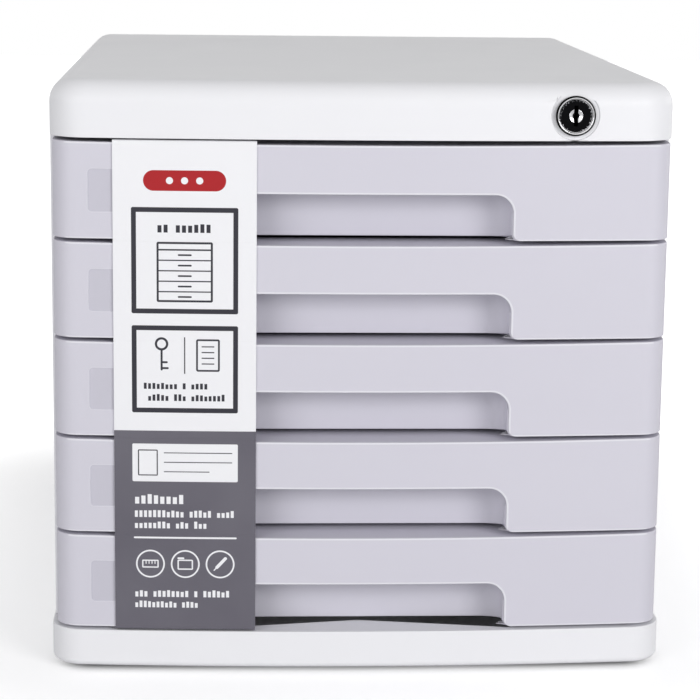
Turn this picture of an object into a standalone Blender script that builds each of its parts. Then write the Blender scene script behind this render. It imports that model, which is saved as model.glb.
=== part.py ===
# Five-drawer desktop file cabinet with one key lock that holds every drawer.
# Units are metres. X points right, Y points back and Z points up.
# The origin is the middle of the footprint, on the desk.
import math

import bmesh
import bpy
from mathutils import Matrix, Vector

MM = 0.001

# Overall sizes
WIDTH = 271.0 * MM
DEPTH = 361.0 * MM
BOW_RADIUS = 1530.0 * MM
DRAWER_COUNT = 5
FRONT_HEIGHT = 41.5 * MM
FRONT_GAP = 1.5 * MM
SEAT_GAP = 0.3 * MM
OVERRUN = 1.0 * MM

# Base
FOOT_HEIGHT = 2.0 * MM
FOOT_RADIUS = 9.0 * MM
FOOT_PEG_RADIUS = 3.0 * MM
FOOT_PEG_HEIGHT = 5.0 * MM
FOOT_INSET_X = 23.5 * MM
FOOT_INSET_Y = 30.5 * MM
FOOT_BOSS_WALL = 1.5 * MM
BASE_HEIGHT = 16.7 * MM
BASE_WALL = 4.0 * MM
BASE_DECK = 2.5 * MM
BASE_EDGE_RADIUS = 2.8 * MM
BASE_FRONT_CORNER = 15.0 * MM
BASE_BACK_CORNER = 9.0 * MM
DECK_LEDGE = 17.7 * MM
DECK_WINDOW_INSET = 40.0 * MM

# Top cover
CAP_HEIGHT = 24.5 * MM
CAP_SETBACK = 0.9 * MM
CAP_WALL = 2.5 * MM
CAP_EDGE_RADIUS = 10.0 * MM
CAP_FRONT_CORNER = 18.0 * MM
CAP_BACK_CORNER = 11.0 * MM

# Side panels and back panel
PANEL_SETBACK = 0.6 * MM
PANEL_WALL = 3.0 * MM
PANEL_FRONT_INSET = 28.2 * MM
PANEL_BACK_INSET = 2.0 * MM
PANEL_LIP_WIDTH = 5.1 * MM
PANEL_LIP_DEPTH = 2.0 * MM
PANEL_FLANGE_WIDTH = 14.0 * MM
PANEL_FLANGE_WALL = 2.0 * MM
PANEL_FLANGE_FRONT_INSET = 50.5 * MM
PANEL_FLANGE_BACK_INSET = 15.5 * MM
RIB_WALL = 2.0 * MM
RIB_REACH = 9.1 * MM
STOP_DEPTH = 4.0 * MM
GROOVE_REACH = 7.4 * MM
GROOVE_REAR_INSET = 4.1 * MM
BACK_WALL = 2.5 * MM

# Assembly screws
SCREW_RADIUS = 1.5 * MM
SCREW_HEAD_RADIUS = 3.2 * MM
SCREW_HEAD_HEIGHT = 1.8 * MM
SCREW_CLEARANCE = 0.3 * MM
SCREW_LENGTH = 12.0 * MM
SCREW_BOSS_RADIUS = 4.0 * MM
SCREW_INSET_X = 7.5 * MM
SCREW_INSET_FRONT = 65.5 * MM
SCREW_INSET_BACK = 30.5 * MM
PANEL_BOSS_HEIGHT = 10.0 * MM
BASE_BOSS_HEIGHT = 6.0 * MM

# Drawer fronts
FRONT_SETBACK_Y = 0.5 * MM
FRONT_SIDE_SETBACK = 2.3 * MM
FRONT_CORNER = 11.0 * MM
FRONT_WALL = 2.5 * MM
FRONT_CROWN = 0.8 * MM
FRONT_REAR_GAP = 0.5 * MM
RECESS_HALF_WIDTH = 64.1 * MM
RECESS_HEIGHT = 19.8 * MM
RECESS_DEPTH = 17.0 * MM
RECESS_GRIP_RISE = 5.0 * MM
RECESS_TOP_CORNER = 8.0 * MM
RECESS_FOOT_CORNER = 2.5 * MM
RECESS_END_RADIUS = 9.0 * MM
RECESS_SIDE_WALL = 3.0 * MM
LABEL_INSET = 15.6 * MM
LABEL_WIDTH = 45.0 * MM
LABEL_HEIGHT = 18.4 * MM
LABEL_DEPTH = 0.35 * MM
FRONT_SCREW_INSET = 41.2 * MM
FRONT_SCREW_RISE = 20.0 * MM

# Drawer trays
TRAY_SIDE_GAP = 12.4 * MM
TRAY_BACK_GAP = 9.3 * MM
TRAY_RISE = 3.0 * MM
TRAY_TOP_DROP = 3.5 * MM
TRAY_WALL = 2.0 * MM
TRAY_FLOOR = 2.0 * MM
RUNNER_DROP = 11.5 * MM
RUNNER_WALL = 2.0 * MM
RUNNER_REACH = 7.0 * MM
RUNNER_PLAY = 0.4 * MM
LUG_LENGTH = 12.0 * MM
LUG_SIDE_GAP = 0.9 * MM

# Card label in five strips
CARD_INSET = 26.2 * MM
CARD_WIDTH = 61.2 * MM
CARD_THICKNESS = 0.4 * MM
CARD_FLAP = 8.0 * MM
CARD_FLAP_CLEARANCE = 0.4 * MM

# Lock
LOCK_INSET_X = 45.8 * MM
LOCK_RISE = 10.8 * MM
LOCK_SPOT_RADIUS = 10.4 * MM
LOCK_SPOT_DEPTH = 1.0 * MM
LOCK_RING_RADIUS = 8.6 * MM
LOCK_RING_HEIGHT = 1.9 * MM
LOCK_BARREL_RADIUS = 7.2 * MM
LOCK_HEAD_RADIUS = 6.9 * MM
LOCK_HEAD_HEIGHT = 0.8 * MM
LOCK_HEAD_SET = 0.2 * MM
LOCK_BODY_RADIUS = 5.5 * MM
LOCK_PAD_RADIUS = 9.4 * MM
LOCK_PAD_HEIGHT = 2.5 * MM
LOCK_PAD_ROOT_SHARE = 0.75
LOCK_NUT_RADIUS = 10.2 * MM
LOCK_NUT_HEIGHT = 3.5 * MM
KEYWAY_WIDTH = 1.75 * MM
KEYWAY_HEIGHT = 8.8 * MM
KEYWAY_DEPTH = 9.0 * MM
DIMPLE_RADIUS = 3.0 * MM
DIMPLE_DEPTH = 0.8 * MM
STUB_WIDTH = 5.0 * MM
CAM_RADIUS = 9.0 * MM
CAM_WALL = 2.4 * MM
CRANK_RADIUS = 6.0 * MM
CRANK_PIN_RADIUS = 2.0 * MM
CRANK_PIN_TAIL = 0.8 * MM
CRANK_REST_DEG = 225.0
CAM_GAP = 0.4 * MM

# Lock bar
BAR_WALL = 2.0 * MM
BAR_FOOT_DROP = 4.0 * MM
BAR_SHOULDER_RISE = 5.0 * MM
BAR_SHOULDER_RUN = 13.0 * MM
ARM_HALF_HEIGHT = 5.5 * MM
ARM_END_WALL = 2.3 * MM
BAR_SLOT_PLAY = 0.4 * MM
BAR_DEPTH = 11.7 * MM
HOOK_DEPTH = 3.0 * MM
HOOK_WALL = 3.0 * MM
HOOK_TRAY_GAP = 2.4 * MM
HOOK_CLEARANCE = 1.5 * MM
TAB_DROP = 8.0 * MM
TAB_DEPTH = 3.0 * MM
TAB_GAP = 0.4 * MM
BAR_PIN_DROP = 6.5 * MM
BAR_PIN_GRIP = 1.9 * MM
BAR_PIN_DRAWERS = (2, 4)

# Segment counts and shading
BOW_STEPS = 12
CORNER_STEPS = 6
EDGE_STEPS = 5
ROUND_STEPS = 32
SMALL_ROUND_STEPS = 12
SMOOTH_ANGLE_DEG = 30.0

# Places that follow from the sizes above
FRONT_Y = -DEPTH / 2
BACK_Y = DEPTH / 2
BASE_Z = FOOT_HEIGHT + SEAT_GAP
DECK_Z = BASE_Z + BASE_HEIGHT
PITCH = FRONT_HEIGHT + FRONT_GAP
CAP_Z = DECK_Z + FRONT_GAP + DRAWER_COUNT * PITCH
TOP_Z = CAP_Z + CAP_HEIGHT
CAP_HALF = WIDTH / 2 - CAP_SETBACK
PANEL_OUTER_X = WIDTH / 2 - PANEL_SETBACK
PANEL_INNER_X = PANEL_OUTER_X - PANEL_WALL
PANEL_LOW_Z = DECK_Z + SEAT_GAP
PANEL_HIGH_Z = CAP_Z - SEAT_GAP
PANEL_FRONT_Y = FRONT_Y + PANEL_FRONT_INSET
PANEL_BACK_Y = BACK_Y - PANEL_BACK_INSET
GROOVE_BACK_Y = PANEL_BACK_Y - GROOVE_REAR_INSET
GROOVE_FRONT_Y = GROOVE_BACK_Y - BACK_WALL - 2 * SEAT_GAP
SCREW_PLACE_X = PANEL_INNER_X - SCREW_INSET_X
SCREW_ROWS_Y = (FRONT_Y + SCREW_INSET_FRONT, BACK_Y - SCREW_INSET_BACK)
FRONT_HALF = WIDTH / 2 - FRONT_SIDE_SETBACK
FRONT_APEX_Y = FRONT_Y + FRONT_SETBACK_Y
FRONT_REAR_Y = PANEL_FRONT_Y - FRONT_REAR_GAP
FRONT_SCREW_X = FRONT_HALF - FRONT_SCREW_INSET
LABEL_LEFT_X = LABEL_INSET - FRONT_HALF
CARD_LEFT_X = CARD_INSET - FRONT_HALF
TRAY_HALF_WIDTH = PANEL_INNER_X - TRAY_SIDE_GAP
TRAY_FRONT_Y = FRONT_REAR_Y + SEAT_GAP
TRAY_BACK_Y = GROOVE_FRONT_Y - RIB_WALL - TRAY_BACK_GAP
TRAY_HEIGHT = FRONT_HEIGHT - TRAY_RISE - TRAY_TOP_DROP
RUNNER_RISE = FRONT_HEIGHT - RUNNER_DROP
RUNNER_EDGE_X = TRAY_HALF_WIDTH + RUNNER_REACH
LUG_FRONT_Y = TRAY_BACK_Y - LUG_LENGTH
LANE_FRONT_Y = PANEL_FRONT_Y + PANEL_LIP_DEPTH + SEAT_GAP
LANE_BACK_Y = LANE_FRONT_Y + BAR_DEPTH
RIB_FRONT_Y = LANE_BACK_Y + SEAT_GAP
STOP_BACK_Y = RIB_FRONT_Y + STOP_DEPTH
DRAWER_TRAVEL = LUG_FRONT_Y - STOP_BACK_Y - SEAT_GAP
BAR_TRAVEL = 2 * CRANK_RADIUS * math.sin(math.radians(CRANK_REST_DEG - 180.0))
LOCK_X = WIDTH / 2 - LOCK_INSET_X
LOCK_Z = CAP_Z + LOCK_RISE
ARM_Z = LOCK_Z - BAR_TRAVEL / 2
HOOK_TOP_RISE = RUNNER_RISE - TAB_DROP - HOOK_CLEARANCE


def drawer_floor_z(number):
    """Underside of a drawer front; drawer 1 is the top one."""
    return DECK_Z + FRONT_GAP + (DRAWER_COUNT - number) * PITCH


# Meshes


def make_object(name, mesh, material):
    obj = bpy.data.objects.new(name, mesh)
    bpy.context.scene.collection.objects.link(obj)
    if material:
        mesh.materials.append(material)
    return obj


def solid_from(bm, name, material=None):
    """Close a bmesh into an object with its faces pointing out."""
    bmesh.ops.recalc_face_normals(bm, faces=bm.faces)
    mesh = bpy.data.meshes.new(name)
    bm.to_mesh(mesh)
    bm.free()
    return make_object(name, mesh, material)


def stacked_rings(rings, name, material=None):
    """Solid through closed rings that all have the same number of points."""
    bm = bmesh.new()
    loops = [[bm.verts.new(point) for point in ring] for ring in rings]
    count = len(loops[0])
    for low, high in zip(loops, loops[1:]):
        for i in range(count):
            j = (i + 1) % count
            bm.faces.new((low[i], low[j], high[j], high[i]))
    bm.faces.new(loops[0])
    bm.faces.new(loops[-1])
    return solid_from(bm, name, material)


def box(low, high, name="box", material=None):
    xs, ys, zs = zip(low, high)
    rings = [[(xs[0], ys[0], z), (xs[1], ys[0], z), (xs[1], ys[1], z), (xs[0], ys[1], z)] for z in zs]
    return stacked_rings(rings, name, material)


def circle_points(radius, steps, start=0.5):
    turns = [2 * math.pi * (i + start) / steps for i in range(steps)]
    return [(radius * math.cos(a), radius * math.sin(a)) for a in turns]


def turned(axis, x, y, z, profile, steps, name, material=None):
    """Round solid along Y or Z: profile holds (place along the axis, radius) pairs."""
    rings = []
    for place, radius in profile:
        if axis == "Y":
            rings.append([(x + a, y + place, z + b) for a, b in circle_points(radius, steps)])
        else:
            rings.append([(x + a, y + b, z + place) for a, b in circle_points(radius, steps)])
    return stacked_rings(rings, name, material)


def rod_y(x, z, y0, y1, radius, steps, name="rod", material=None):
    return turned("Y", x, 0.0, z, [(y0, radius), (y1, radius)], steps, name, material)


def rod_z(x, y, z0, z1, radius, steps, name="rod", material=None):
    return turned("Z", x, y, 0.0, [(z0, radius), (z1, radius)], steps, name, material)


def plate_xz(outline, y0, y1, name="plate", material=None):
    """An outline in X and Z, given a thickness along Y."""
    return stacked_rings([[(x, y, z) for x, z in outline] for y in (y0, y1)], name, material)


def combine(target, tools, operation="DIFFERENCE"):
    """Boolean each tool into the target, then drop the tools."""
    for tool in tools:
        modifier = target.modifiers.new(tool.name, "BOOLEAN")
        modifier.operation = operation
        modifier.solver = "EXACT"
        modifier.object = tool
        view = bpy.context.evaluated_depsgraph_get()
        result = bpy.data.meshes.new_from_object(target.evaluated_get(view))
        target.modifiers.clear()
        old = target.data
        target.data = result
        result.name = old.name
        bpy.data.meshes.remove(old)
        bpy.data.objects.remove(tool)
    return target


def mirrored_copy(source, name):
    """The same piece for the other side of the object."""
    mesh = source.data.copy()
    mesh.transform(Matrix.Scale(-1.0, 4, Vector((1.0, 0.0, 0.0))))
    mesh.flip_normals()
    return make_object(name, mesh, None)


def material(name, colour, roughness, metallic=0.0):
    mat = bpy.data.materials.new(name)
    mat.use_nodes = True
    shader = mat.node_tree.nodes["Principled BSDF"]
    shader.inputs["Base Color"].default_value = (*colour, 1.0)
    shader.inputs["Roughness"].default_value = roughness
    shader.inputs["Metallic"].default_value = metallic
    mat.diffuse_color = (*colour, 1.0)
    return mat


# Outlines


def arc_points(cx, cy, radius, start, end, steps):
    turns = [start + (end - start) * i / steps for i in range(steps + 1)]
    return [(cx + radius * math.cos(a), cy + radius * math.sin(a)) for a in turns]


def bow_y(x, apex_y, inset=0.0):
    """The bowed front face seen from above: a wide arc whose apex is at X = 0."""
    radius = BOW_RADIUS - inset
    return apex_y + BOW_RADIUS - math.sqrt(radius * radius - x * x)


def front_curve(half_width, apex_y, corner, inset=0.0):
    """Left to right along the front: round corner, bow, round corner, all moved inward by the inset."""
    bow_centre_y = apex_y + BOW_RADIUS
    corner_x = half_width - corner
    corner_y = bow_centre_y - math.sqrt((BOW_RADIUS - corner) ** 2 - corner_x**2)
    lean = math.atan2(corner_x, bow_centre_y - corner_y)
    right = arc_points(corner_x, corner_y, corner - inset, -math.pi / 2 + lean, 0.0, CORNER_STEPS)
    half_bow = BOW_STEPS // 2
    radius = BOW_RADIUS - inset
    bow = [
        (radius * math.sin(lean * i / half_bow), bow_centre_y - radius * math.cos(lean * i / half_bow))
        for i in range(1 - half_bow, half_bow)
    ]
    left = [(-x, y) for x, y in reversed(right)]
    return left + bow + right


def plan_outline(half_width, front_y, back_y, front_corner, back_corner, inset=0.0):
    """Footprint with a bowed front and four round corners."""
    front = front_curve(half_width, front_y, front_corner, inset)
    corner_x = half_width - back_corner
    corner_y = back_y - back_corner
    radius = back_corner - inset
    right = arc_points(corner_x, corner_y, radius, 0.0, math.pi / 2, CORNER_STEPS)
    left = [(-x, y) for x, y in reversed(right)]
    return front + right + left


def at_height(outline, z):
    return [(x, y, z) for x, y in outline]


def lofted(stations, name, material=None):
    """Solid through rectangles across X: stations hold (x, front y, back y, low z, high z)."""
    rings = [[(x, y0, z0), (x, y1, z0), (x, y1, z1), (x, y0, z1)] for x, y0, y1, z0, z1 in stations]
    return stacked_rings(rings, name, material)


# Base and its feet


def make_base(white):
    def outline(inset):
        return plan_outline(WIDTH / 2, FRONT_Y, BACK_Y, BASE_FRONT_CORNER, BASE_BACK_CORNER, inset)

    rings = []
    for i in range(EDGE_STEPS + 1):
        turn = math.pi / 2 * i / EDGE_STEPS
        inset = BASE_EDGE_RADIUS * (1 - math.sin(turn))
        rings.append(at_height(outline(inset), BASE_Z + BASE_EDGE_RADIUS * (1 - math.cos(turn))))
    rings.append(at_height(outline(0.0), DECK_Z))
    base = stacked_rings(rings, "base", white)
    deck_under = DECK_Z - BASE_DECK
    hollow = [at_height(outline(BASE_WALL), z) for z in (BASE_Z - OVERRUN, deck_under)]
    combine(base, [stacked_rings(hollow, "hollow")])
    boss_top = DECK_Z - BASE_DECK / 2
    for x, y in foot_places():
        boss = FOOT_PEG_RADIUS + SEAT_GAP + FOOT_BOSS_WALL
        combine(base, [rod_z(x, y, BASE_Z, boss_top, boss, ROUND_STEPS // 2)], "UNION")
        hole_top = BASE_Z + FOOT_PEG_HEIGHT
        hole = FOOT_PEG_RADIUS + SEAT_GAP
        combine(base, [rod_z(x, y, BASE_Z - OVERRUN, hole_top, hole, SMALL_ROUND_STEPS)])
    for x, y in screw_places():
        low = deck_under - BASE_BOSS_HEIGHT
        combine(base, [rod_z(x, y, low, boss_top, SCREW_BOSS_RADIUS, ROUND_STEPS // 2)], "UNION")
        hole = SCREW_RADIUS + SCREW_CLEARANCE
        combine(base, [rod_z(x, y, low - OVERRUN, DECK_Z + OVERRUN, hole, SMALL_ROUND_STEPS)])
    combine(base, [deck_window()])
    return base


def deck_window():
    """An opening in the deck, behind a front ledge that is deepest in the middle."""
    outer_x = RECESS_HALF_WIDTH + BASE_WALL
    outer_y = bow_y(outer_x, FRONT_Y) + BASE_WALL + SEAT_GAP
    rear_y = FRONT_Y + DECK_WINDOW_INSET
    right = [(outer_x, outer_y), (outer_x, rear_y)]
    left = [(-x, y) for x, y in reversed(right)]
    outline = [(0.0, FRONT_Y + DECK_LEDGE), *right, *left]
    heights = (DECK_Z - BASE_DECK - OVERRUN, DECK_Z + OVERRUN)
    return stacked_rings([at_height(outline, z) for z in heights], "deck_window")


def foot_places():
    side_x = WIDTH / 2 - FOOT_INSET_X
    end_y = DEPTH / 2 - FOOT_INSET_Y
    return [(x, y) for y in (-end_y, end_y) for x in (-side_x, side_x)]


def screw_places():
    return [(x, y) for y in SCREW_ROWS_Y for x in (-SCREW_PLACE_X, SCREW_PLACE_X)]


def make_feet(rubber):
    for number, (x, y) in enumerate(foot_places(), 1):
        peg_top = BASE_Z + FOOT_PEG_HEIGHT - SEAT_GAP
        profile = [
            (0.0, FOOT_RADIUS),
            (FOOT_HEIGHT, FOOT_RADIUS),
            (FOOT_HEIGHT, FOOT_PEG_RADIUS),
            (peg_top, FOOT_PEG_RADIUS),
        ]
        turned("Z", x, y, 0.0, profile, ROUND_STEPS // 2, f"foot_{number}", rubber)


# Top cover


def make_cap(white):
    def outline(inset):
        return plan_outline(CAP_HALF, FRONT_Y, BACK_Y, CAP_FRONT_CORNER, CAP_BACK_CORNER, inset)

    def dome(low, wall):
        rings = [at_height(outline(wall), low)]
        radius = CAP_EDGE_RADIUS - wall
        for i in range(EDGE_STEPS + 1):
            turn = math.pi / 2 * i / EDGE_STEPS
            inset = wall + radius * (1 - math.cos(turn))
            rings.append(at_height(outline(inset), TOP_Z - CAP_EDGE_RADIUS + radius * math.sin(turn)))
        return rings

    cap = stacked_rings(dome(CAP_Z, 0.0), "top_cover", white)
    combine(cap, [stacked_rings(dome(CAP_Z - OVERRUN, CAP_WALL), "hollow")])
    ceiling = TOP_Z - CAP_WALL / 2
    for x, y in screw_places():
        combine(cap, [rod_z(x, y, CAP_Z, ceiling, SCREW_BOSS_RADIUS, ROUND_STEPS // 2)], "UNION")
        pilot_top = CAP_Z + SCREW_LENGTH
        pilot = SCREW_RADIUS + SCREW_CLEARANCE
        combine(cap, [rod_z(x, y, CAP_Z - OVERRUN, pilot_top, pilot, SMALL_ROUND_STEPS)])
    spot_y = lock_spot_y()
    pad_front = bow_y(LOCK_X, FRONT_Y) + CAP_WALL * LOCK_PAD_ROOT_SHARE
    combine(cap, [rod_y(LOCK_X, LOCK_Z, pad_front, lock_pad_y(), LOCK_PAD_RADIUS, ROUND_STEPS)], "UNION")
    combine(cap, [rod_y(LOCK_X, LOCK_Z, FRONT_Y - OVERRUN, spot_y, LOCK_SPOT_RADIUS, ROUND_STEPS)])
    hole = LOCK_BARREL_RADIUS + SEAT_GAP
    combine(cap, [rod_y(LOCK_X, LOCK_Z, FRONT_Y - OVERRUN, lock_pad_y() + OVERRUN, hole, ROUND_STEPS)])
    return cap


def lock_spot_y():
    """Flat seat for the lock's ring, let into the bowed face."""
    return bow_y(LOCK_X, FRONT_Y) + LOCK_SPOT_DEPTH


def lock_pad_y():
    """Flat face behind the cover's front wall, where the lock's nut bears."""
    return bow_y(LOCK_X + LOCK_PAD_RADIUS, FRONT_Y) + CAP_WALL + LOCK_PAD_HEIGHT


# Side panels and back panel


def make_side_panels(white):
    low, high = PANEL_LOW_Z, PANEL_HIGH_Z
    right = box(
        (PANEL_INNER_X, PANEL_FRONT_Y, low), (PANEL_OUTER_X, PANEL_BACK_Y, high), "side_panel_right", white
    )
    root_x = PANEL_INNER_X + PANEL_WALL / 2
    lip_x = PANEL_INNER_X - PANEL_LIP_WIDTH
    adds = [box((lip_x, PANEL_FRONT_Y, low), (root_x, PANEL_FRONT_Y + PANEL_LIP_DEPTH, high))]
    flange_x = PANEL_INNER_X - PANEL_FLANGE_WIDTH
    flange_front = FRONT_Y + PANEL_FLANGE_FRONT_INSET
    flange_back = BACK_Y - PANEL_FLANGE_BACK_INSET
    for z0, z1 in ((low, low + PANEL_FLANGE_WALL), (high - PANEL_FLANGE_WALL, high)):
        adds.append(box((flange_x, flange_front, z0), (root_x, flange_back, z1)))
    for y in SCREW_ROWS_Y:
        foot = low + PANEL_FLANGE_WALL / 2
        boss_top = low + PANEL_BOSS_HEIGHT
        adds.append(rod_z(SCREW_PLACE_X, y, foot, boss_top, SCREW_BOSS_RADIUS, ROUND_STEPS // 2))
    groove_x = PANEL_INNER_X - GROOVE_REACH
    for y in (GROOVE_FRONT_Y, GROOVE_BACK_Y + RIB_WALL):
        adds.append(box((groove_x, y - RIB_WALL, low), (root_x, y, high)))
    for number in range(1, DRAWER_COUNT + 1):
        adds += channel_ribs(number, root_x)
    combine(right, adds, "UNION")
    cuts = []
    for y in SCREW_ROWS_Y:
        hole = SCREW_RADIUS + SCREW_CLEARANCE
        pilot_top = low + PANEL_BOSS_HEIGHT - PANEL_FLANGE_WALL / 2
        cuts.append(rod_z(SCREW_PLACE_X, y, low - OVERRUN, pilot_top, hole, SMALL_ROUND_STEPS))
        flange_low = high - PANEL_FLANGE_WALL - OVERRUN
        cuts.append(rod_z(SCREW_PLACE_X, y, flange_low, high + OVERRUN, hole, SMALL_ROUND_STEPS))
    combine(right, cuts)
    mirrored_copy(right, "side_panel_left")
    hole_end = bar_pin_tip_x() + SEAT_GAP
    for number in BAR_PIN_DRAWERS:
        combine(right, [pin_rod(number, PANEL_INNER_X - OVERRUN, hole_end, SCREW_CLEARANCE)])


def channel_ribs(number, root_x):
    """Lower rib, upper rib and stop block that guide one drawer's runner on the right side."""
    rib_x = PANEL_INNER_X - RIB_REACH
    runner_low = drawer_floor_z(number) + RUNNER_RISE
    rib_back = GROOVE_FRONT_Y - RIB_WALL / 2
    shelf_top = runner_low - SEAT_GAP
    roof_low = runner_low + RUNNER_WALL + RUNNER_PLAY
    shelf = box((rib_x, RIB_FRONT_Y, shelf_top - RIB_WALL), (root_x, rib_back, shelf_top))
    roof = box((rib_x, RIB_FRONT_Y, roof_low), (root_x, rib_back, roof_low + RIB_WALL))
    stop_x = RUNNER_EDGE_X + LUG_SIDE_GAP
    half_rib = RIB_WALL / 2
    stop = box((stop_x, RIB_FRONT_Y, shelf_top - half_rib), (root_x, STOP_BACK_Y, roof_low + half_rib))
    return [shelf, roof, stop]


def make_back_panel(white):
    half = PANEL_INNER_X - SEAT_GAP
    y0 = GROOVE_FRONT_Y + SEAT_GAP
    box((-half, y0, PANEL_LOW_Z), (half, y0 + BACK_WALL, PANEL_HIGH_Z), "back_panel", white)


# Screws


def make_case_screws(steel):
    for number, (x, y) in enumerate(screw_places(), 1):
        under_flange = PANEL_HIGH_Z - PANEL_FLANGE_WALL - SEAT_GAP
        tip = under_flange + SCREW_LENGTH
        profile = screw_profile(under_flange, tip)
        turned("Z", x, y, 0.0, profile, SMALL_ROUND_STEPS, f"cover_screw_{number}", steel)
        under_boss = DECK_Z - BASE_DECK - BASE_BOSS_HEIGHT - SEAT_GAP
        tip = PANEL_LOW_Z + PANEL_BOSS_HEIGHT - PANEL_FLANGE_WALL / 2 - SEAT_GAP
        profile = screw_profile(under_boss, tip)
        turned("Z", x, y, 0.0, profile, SMALL_ROUND_STEPS, f"base_screw_{number}", steel)


def screw_profile(seat, tip):
    """Head, then shank, from the head's outer face to the tip; the head lies on the far side of its seat."""
    side = 1.0 if tip > seat else -1.0
    back = seat - side * SCREW_HEAD_HEIGHT
    return [(back, SCREW_HEAD_RADIUS), (seat, SCREW_HEAD_RADIUS), (seat, SCREW_RADIUS), (tip, SCREW_RADIUS)]


# Drawers


def front_top_z(x, floor_z):
    """The top edge of a drawer front dips a little at the middle."""
    share = min(1.0, abs(x) / FRONT_HALF)
    return floor_z + FRONT_HEIGHT - FRONT_CROWN * (1 - share * share)


def make_front(number, lilac):
    floor_z = drawer_floor_z(number)
    outer = front_curve(FRONT_HALF, FRONT_APEX_Y, FRONT_CORNER)
    stations = [(x, y, FRONT_REAR_Y, floor_z, front_top_z(x, floor_z)) for x, y in outer]
    front = lofted(stations, f"drawer_{number}_front", lilac)
    inner = front_curve(FRONT_HALF, FRONT_APEX_Y, FRONT_CORNER, FRONT_WALL)
    low, high = floor_z + FRONT_WALL, front_top_z(0.0, floor_z) - FRONT_WALL
    combine(front, [lofted([(x, y, FRONT_REAR_Y + OVERRUN, low, high) for x, y in inner], "hollow")])
    roof = floor_z + RECESS_HEIGHT + RECESS_GRIP_RISE
    sill = floor_z + FRONT_WALL / 2
    shell = recess_stations(RECESS_SIDE_WALL, FRONT_WALL / 2, sill, roof + FRONT_WALL)
    bosses = [
        rod_y(x, floor_z + FRONT_SCREW_RISE, boss_root_y(), FRONT_REAR_Y, SCREW_BOSS_RADIUS, ROUND_STEPS // 2)
        for x in (-FRONT_SCREW_X, FRONT_SCREW_X)
    ]
    combine(front, [lofted(shell, "recess_shell"), *bosses], "UNION")
    void = recess_stations(0.0, FRONT_WALL, floor_z - OVERRUN, roof)
    mouth_back = bow_y(RECESS_HALF_WIDTH, FRONT_APEX_Y) + FRONT_WALL + SEAT_GAP
    mouth = plate_xz(mouth_outline(floor_z), FRONT_Y - OVERRUN, mouth_back)
    pilot = SCREW_RADIUS + SCREW_CLEARANCE
    holes = [
        rod_y(
            x,
            floor_z + FRONT_SCREW_RISE,
            TRAY_FRONT_Y + TRAY_WALL - SCREW_LENGTH,
            FRONT_REAR_Y + OVERRUN,
            pilot,
            SMALL_ROUND_STEPS,
        )
        for x in (-FRONT_SCREW_X, FRONT_SCREW_X)
    ]
    combine(front, [lofted(void, "recess_void"), mouth, label_cut(floor_z), *holes])
    return front


def boss_root_y():
    return bow_y(FRONT_SCREW_X, FRONT_APEX_Y) + FRONT_WALL / 2


def recess_stations(wall, front_wall, low, high):
    """The finger recess seen from above: it follows the bow in front and is round at its back corners."""
    half = RECESS_HALF_WIDTH + wall
    back = FRONT_APEX_Y + RECESS_DEPTH + (FRONT_WALL if wall else 0.0)
    radius = RECESS_END_RADIUS + wall
    corner = arc_points(half - radius, back - radius, radius, math.pi / 2, 0.0, CORNER_STEPS)
    middle = [(half * i / BOW_STEPS, back) for i in range(-BOW_STEPS // 2, BOW_STEPS // 2 + 1)]
    curve = [(-x, y) for x, y in reversed(corner)] + middle + corner
    return [(x, bow_y(x, FRONT_APEX_Y) + front_wall, y, low, high) for x, y in curve]


def mouth_outline(floor_z):
    """Outline of the recess in the front face: round above, flared out at the foot."""
    half = RECESS_HALF_WIDTH
    top = floor_z + RECESS_HEIGHT
    foot = RECESS_FOOT_CORNER
    low = arc_points(half + foot, floor_z + foot, foot, -math.pi / 2, -math.pi, CORNER_STEPS // 2)
    inner = half - RECESS_TOP_CORNER
    high = arc_points(inner, top - RECESS_TOP_CORNER, RECESS_TOP_CORNER, 0.0, math.pi / 2, CORNER_STEPS)
    right = [(half + foot, floor_z - OVERRUN), *low, *high]
    return right + [(-x, z) for x, z in reversed(right)]


def label_cut(floor_z):
    """Shallow window for a name label, following the bow."""
    centre_z = floor_z + FRONT_HEIGHT / 2
    low, high = centre_z - LABEL_HEIGHT / 2, centre_z + LABEL_HEIGHT / 2
    steps = BOW_STEPS // 2
    places = [LABEL_LEFT_X + LABEL_WIDTH * i / steps for i in range(steps + 1)]
    stations = [
        (x, bow_y(x, FRONT_APEX_Y) - OVERRUN, bow_y(x, FRONT_APEX_Y) + LABEL_DEPTH, low, high) for x in places
    ]
    return lofted(stations, "label_cut")


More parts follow.
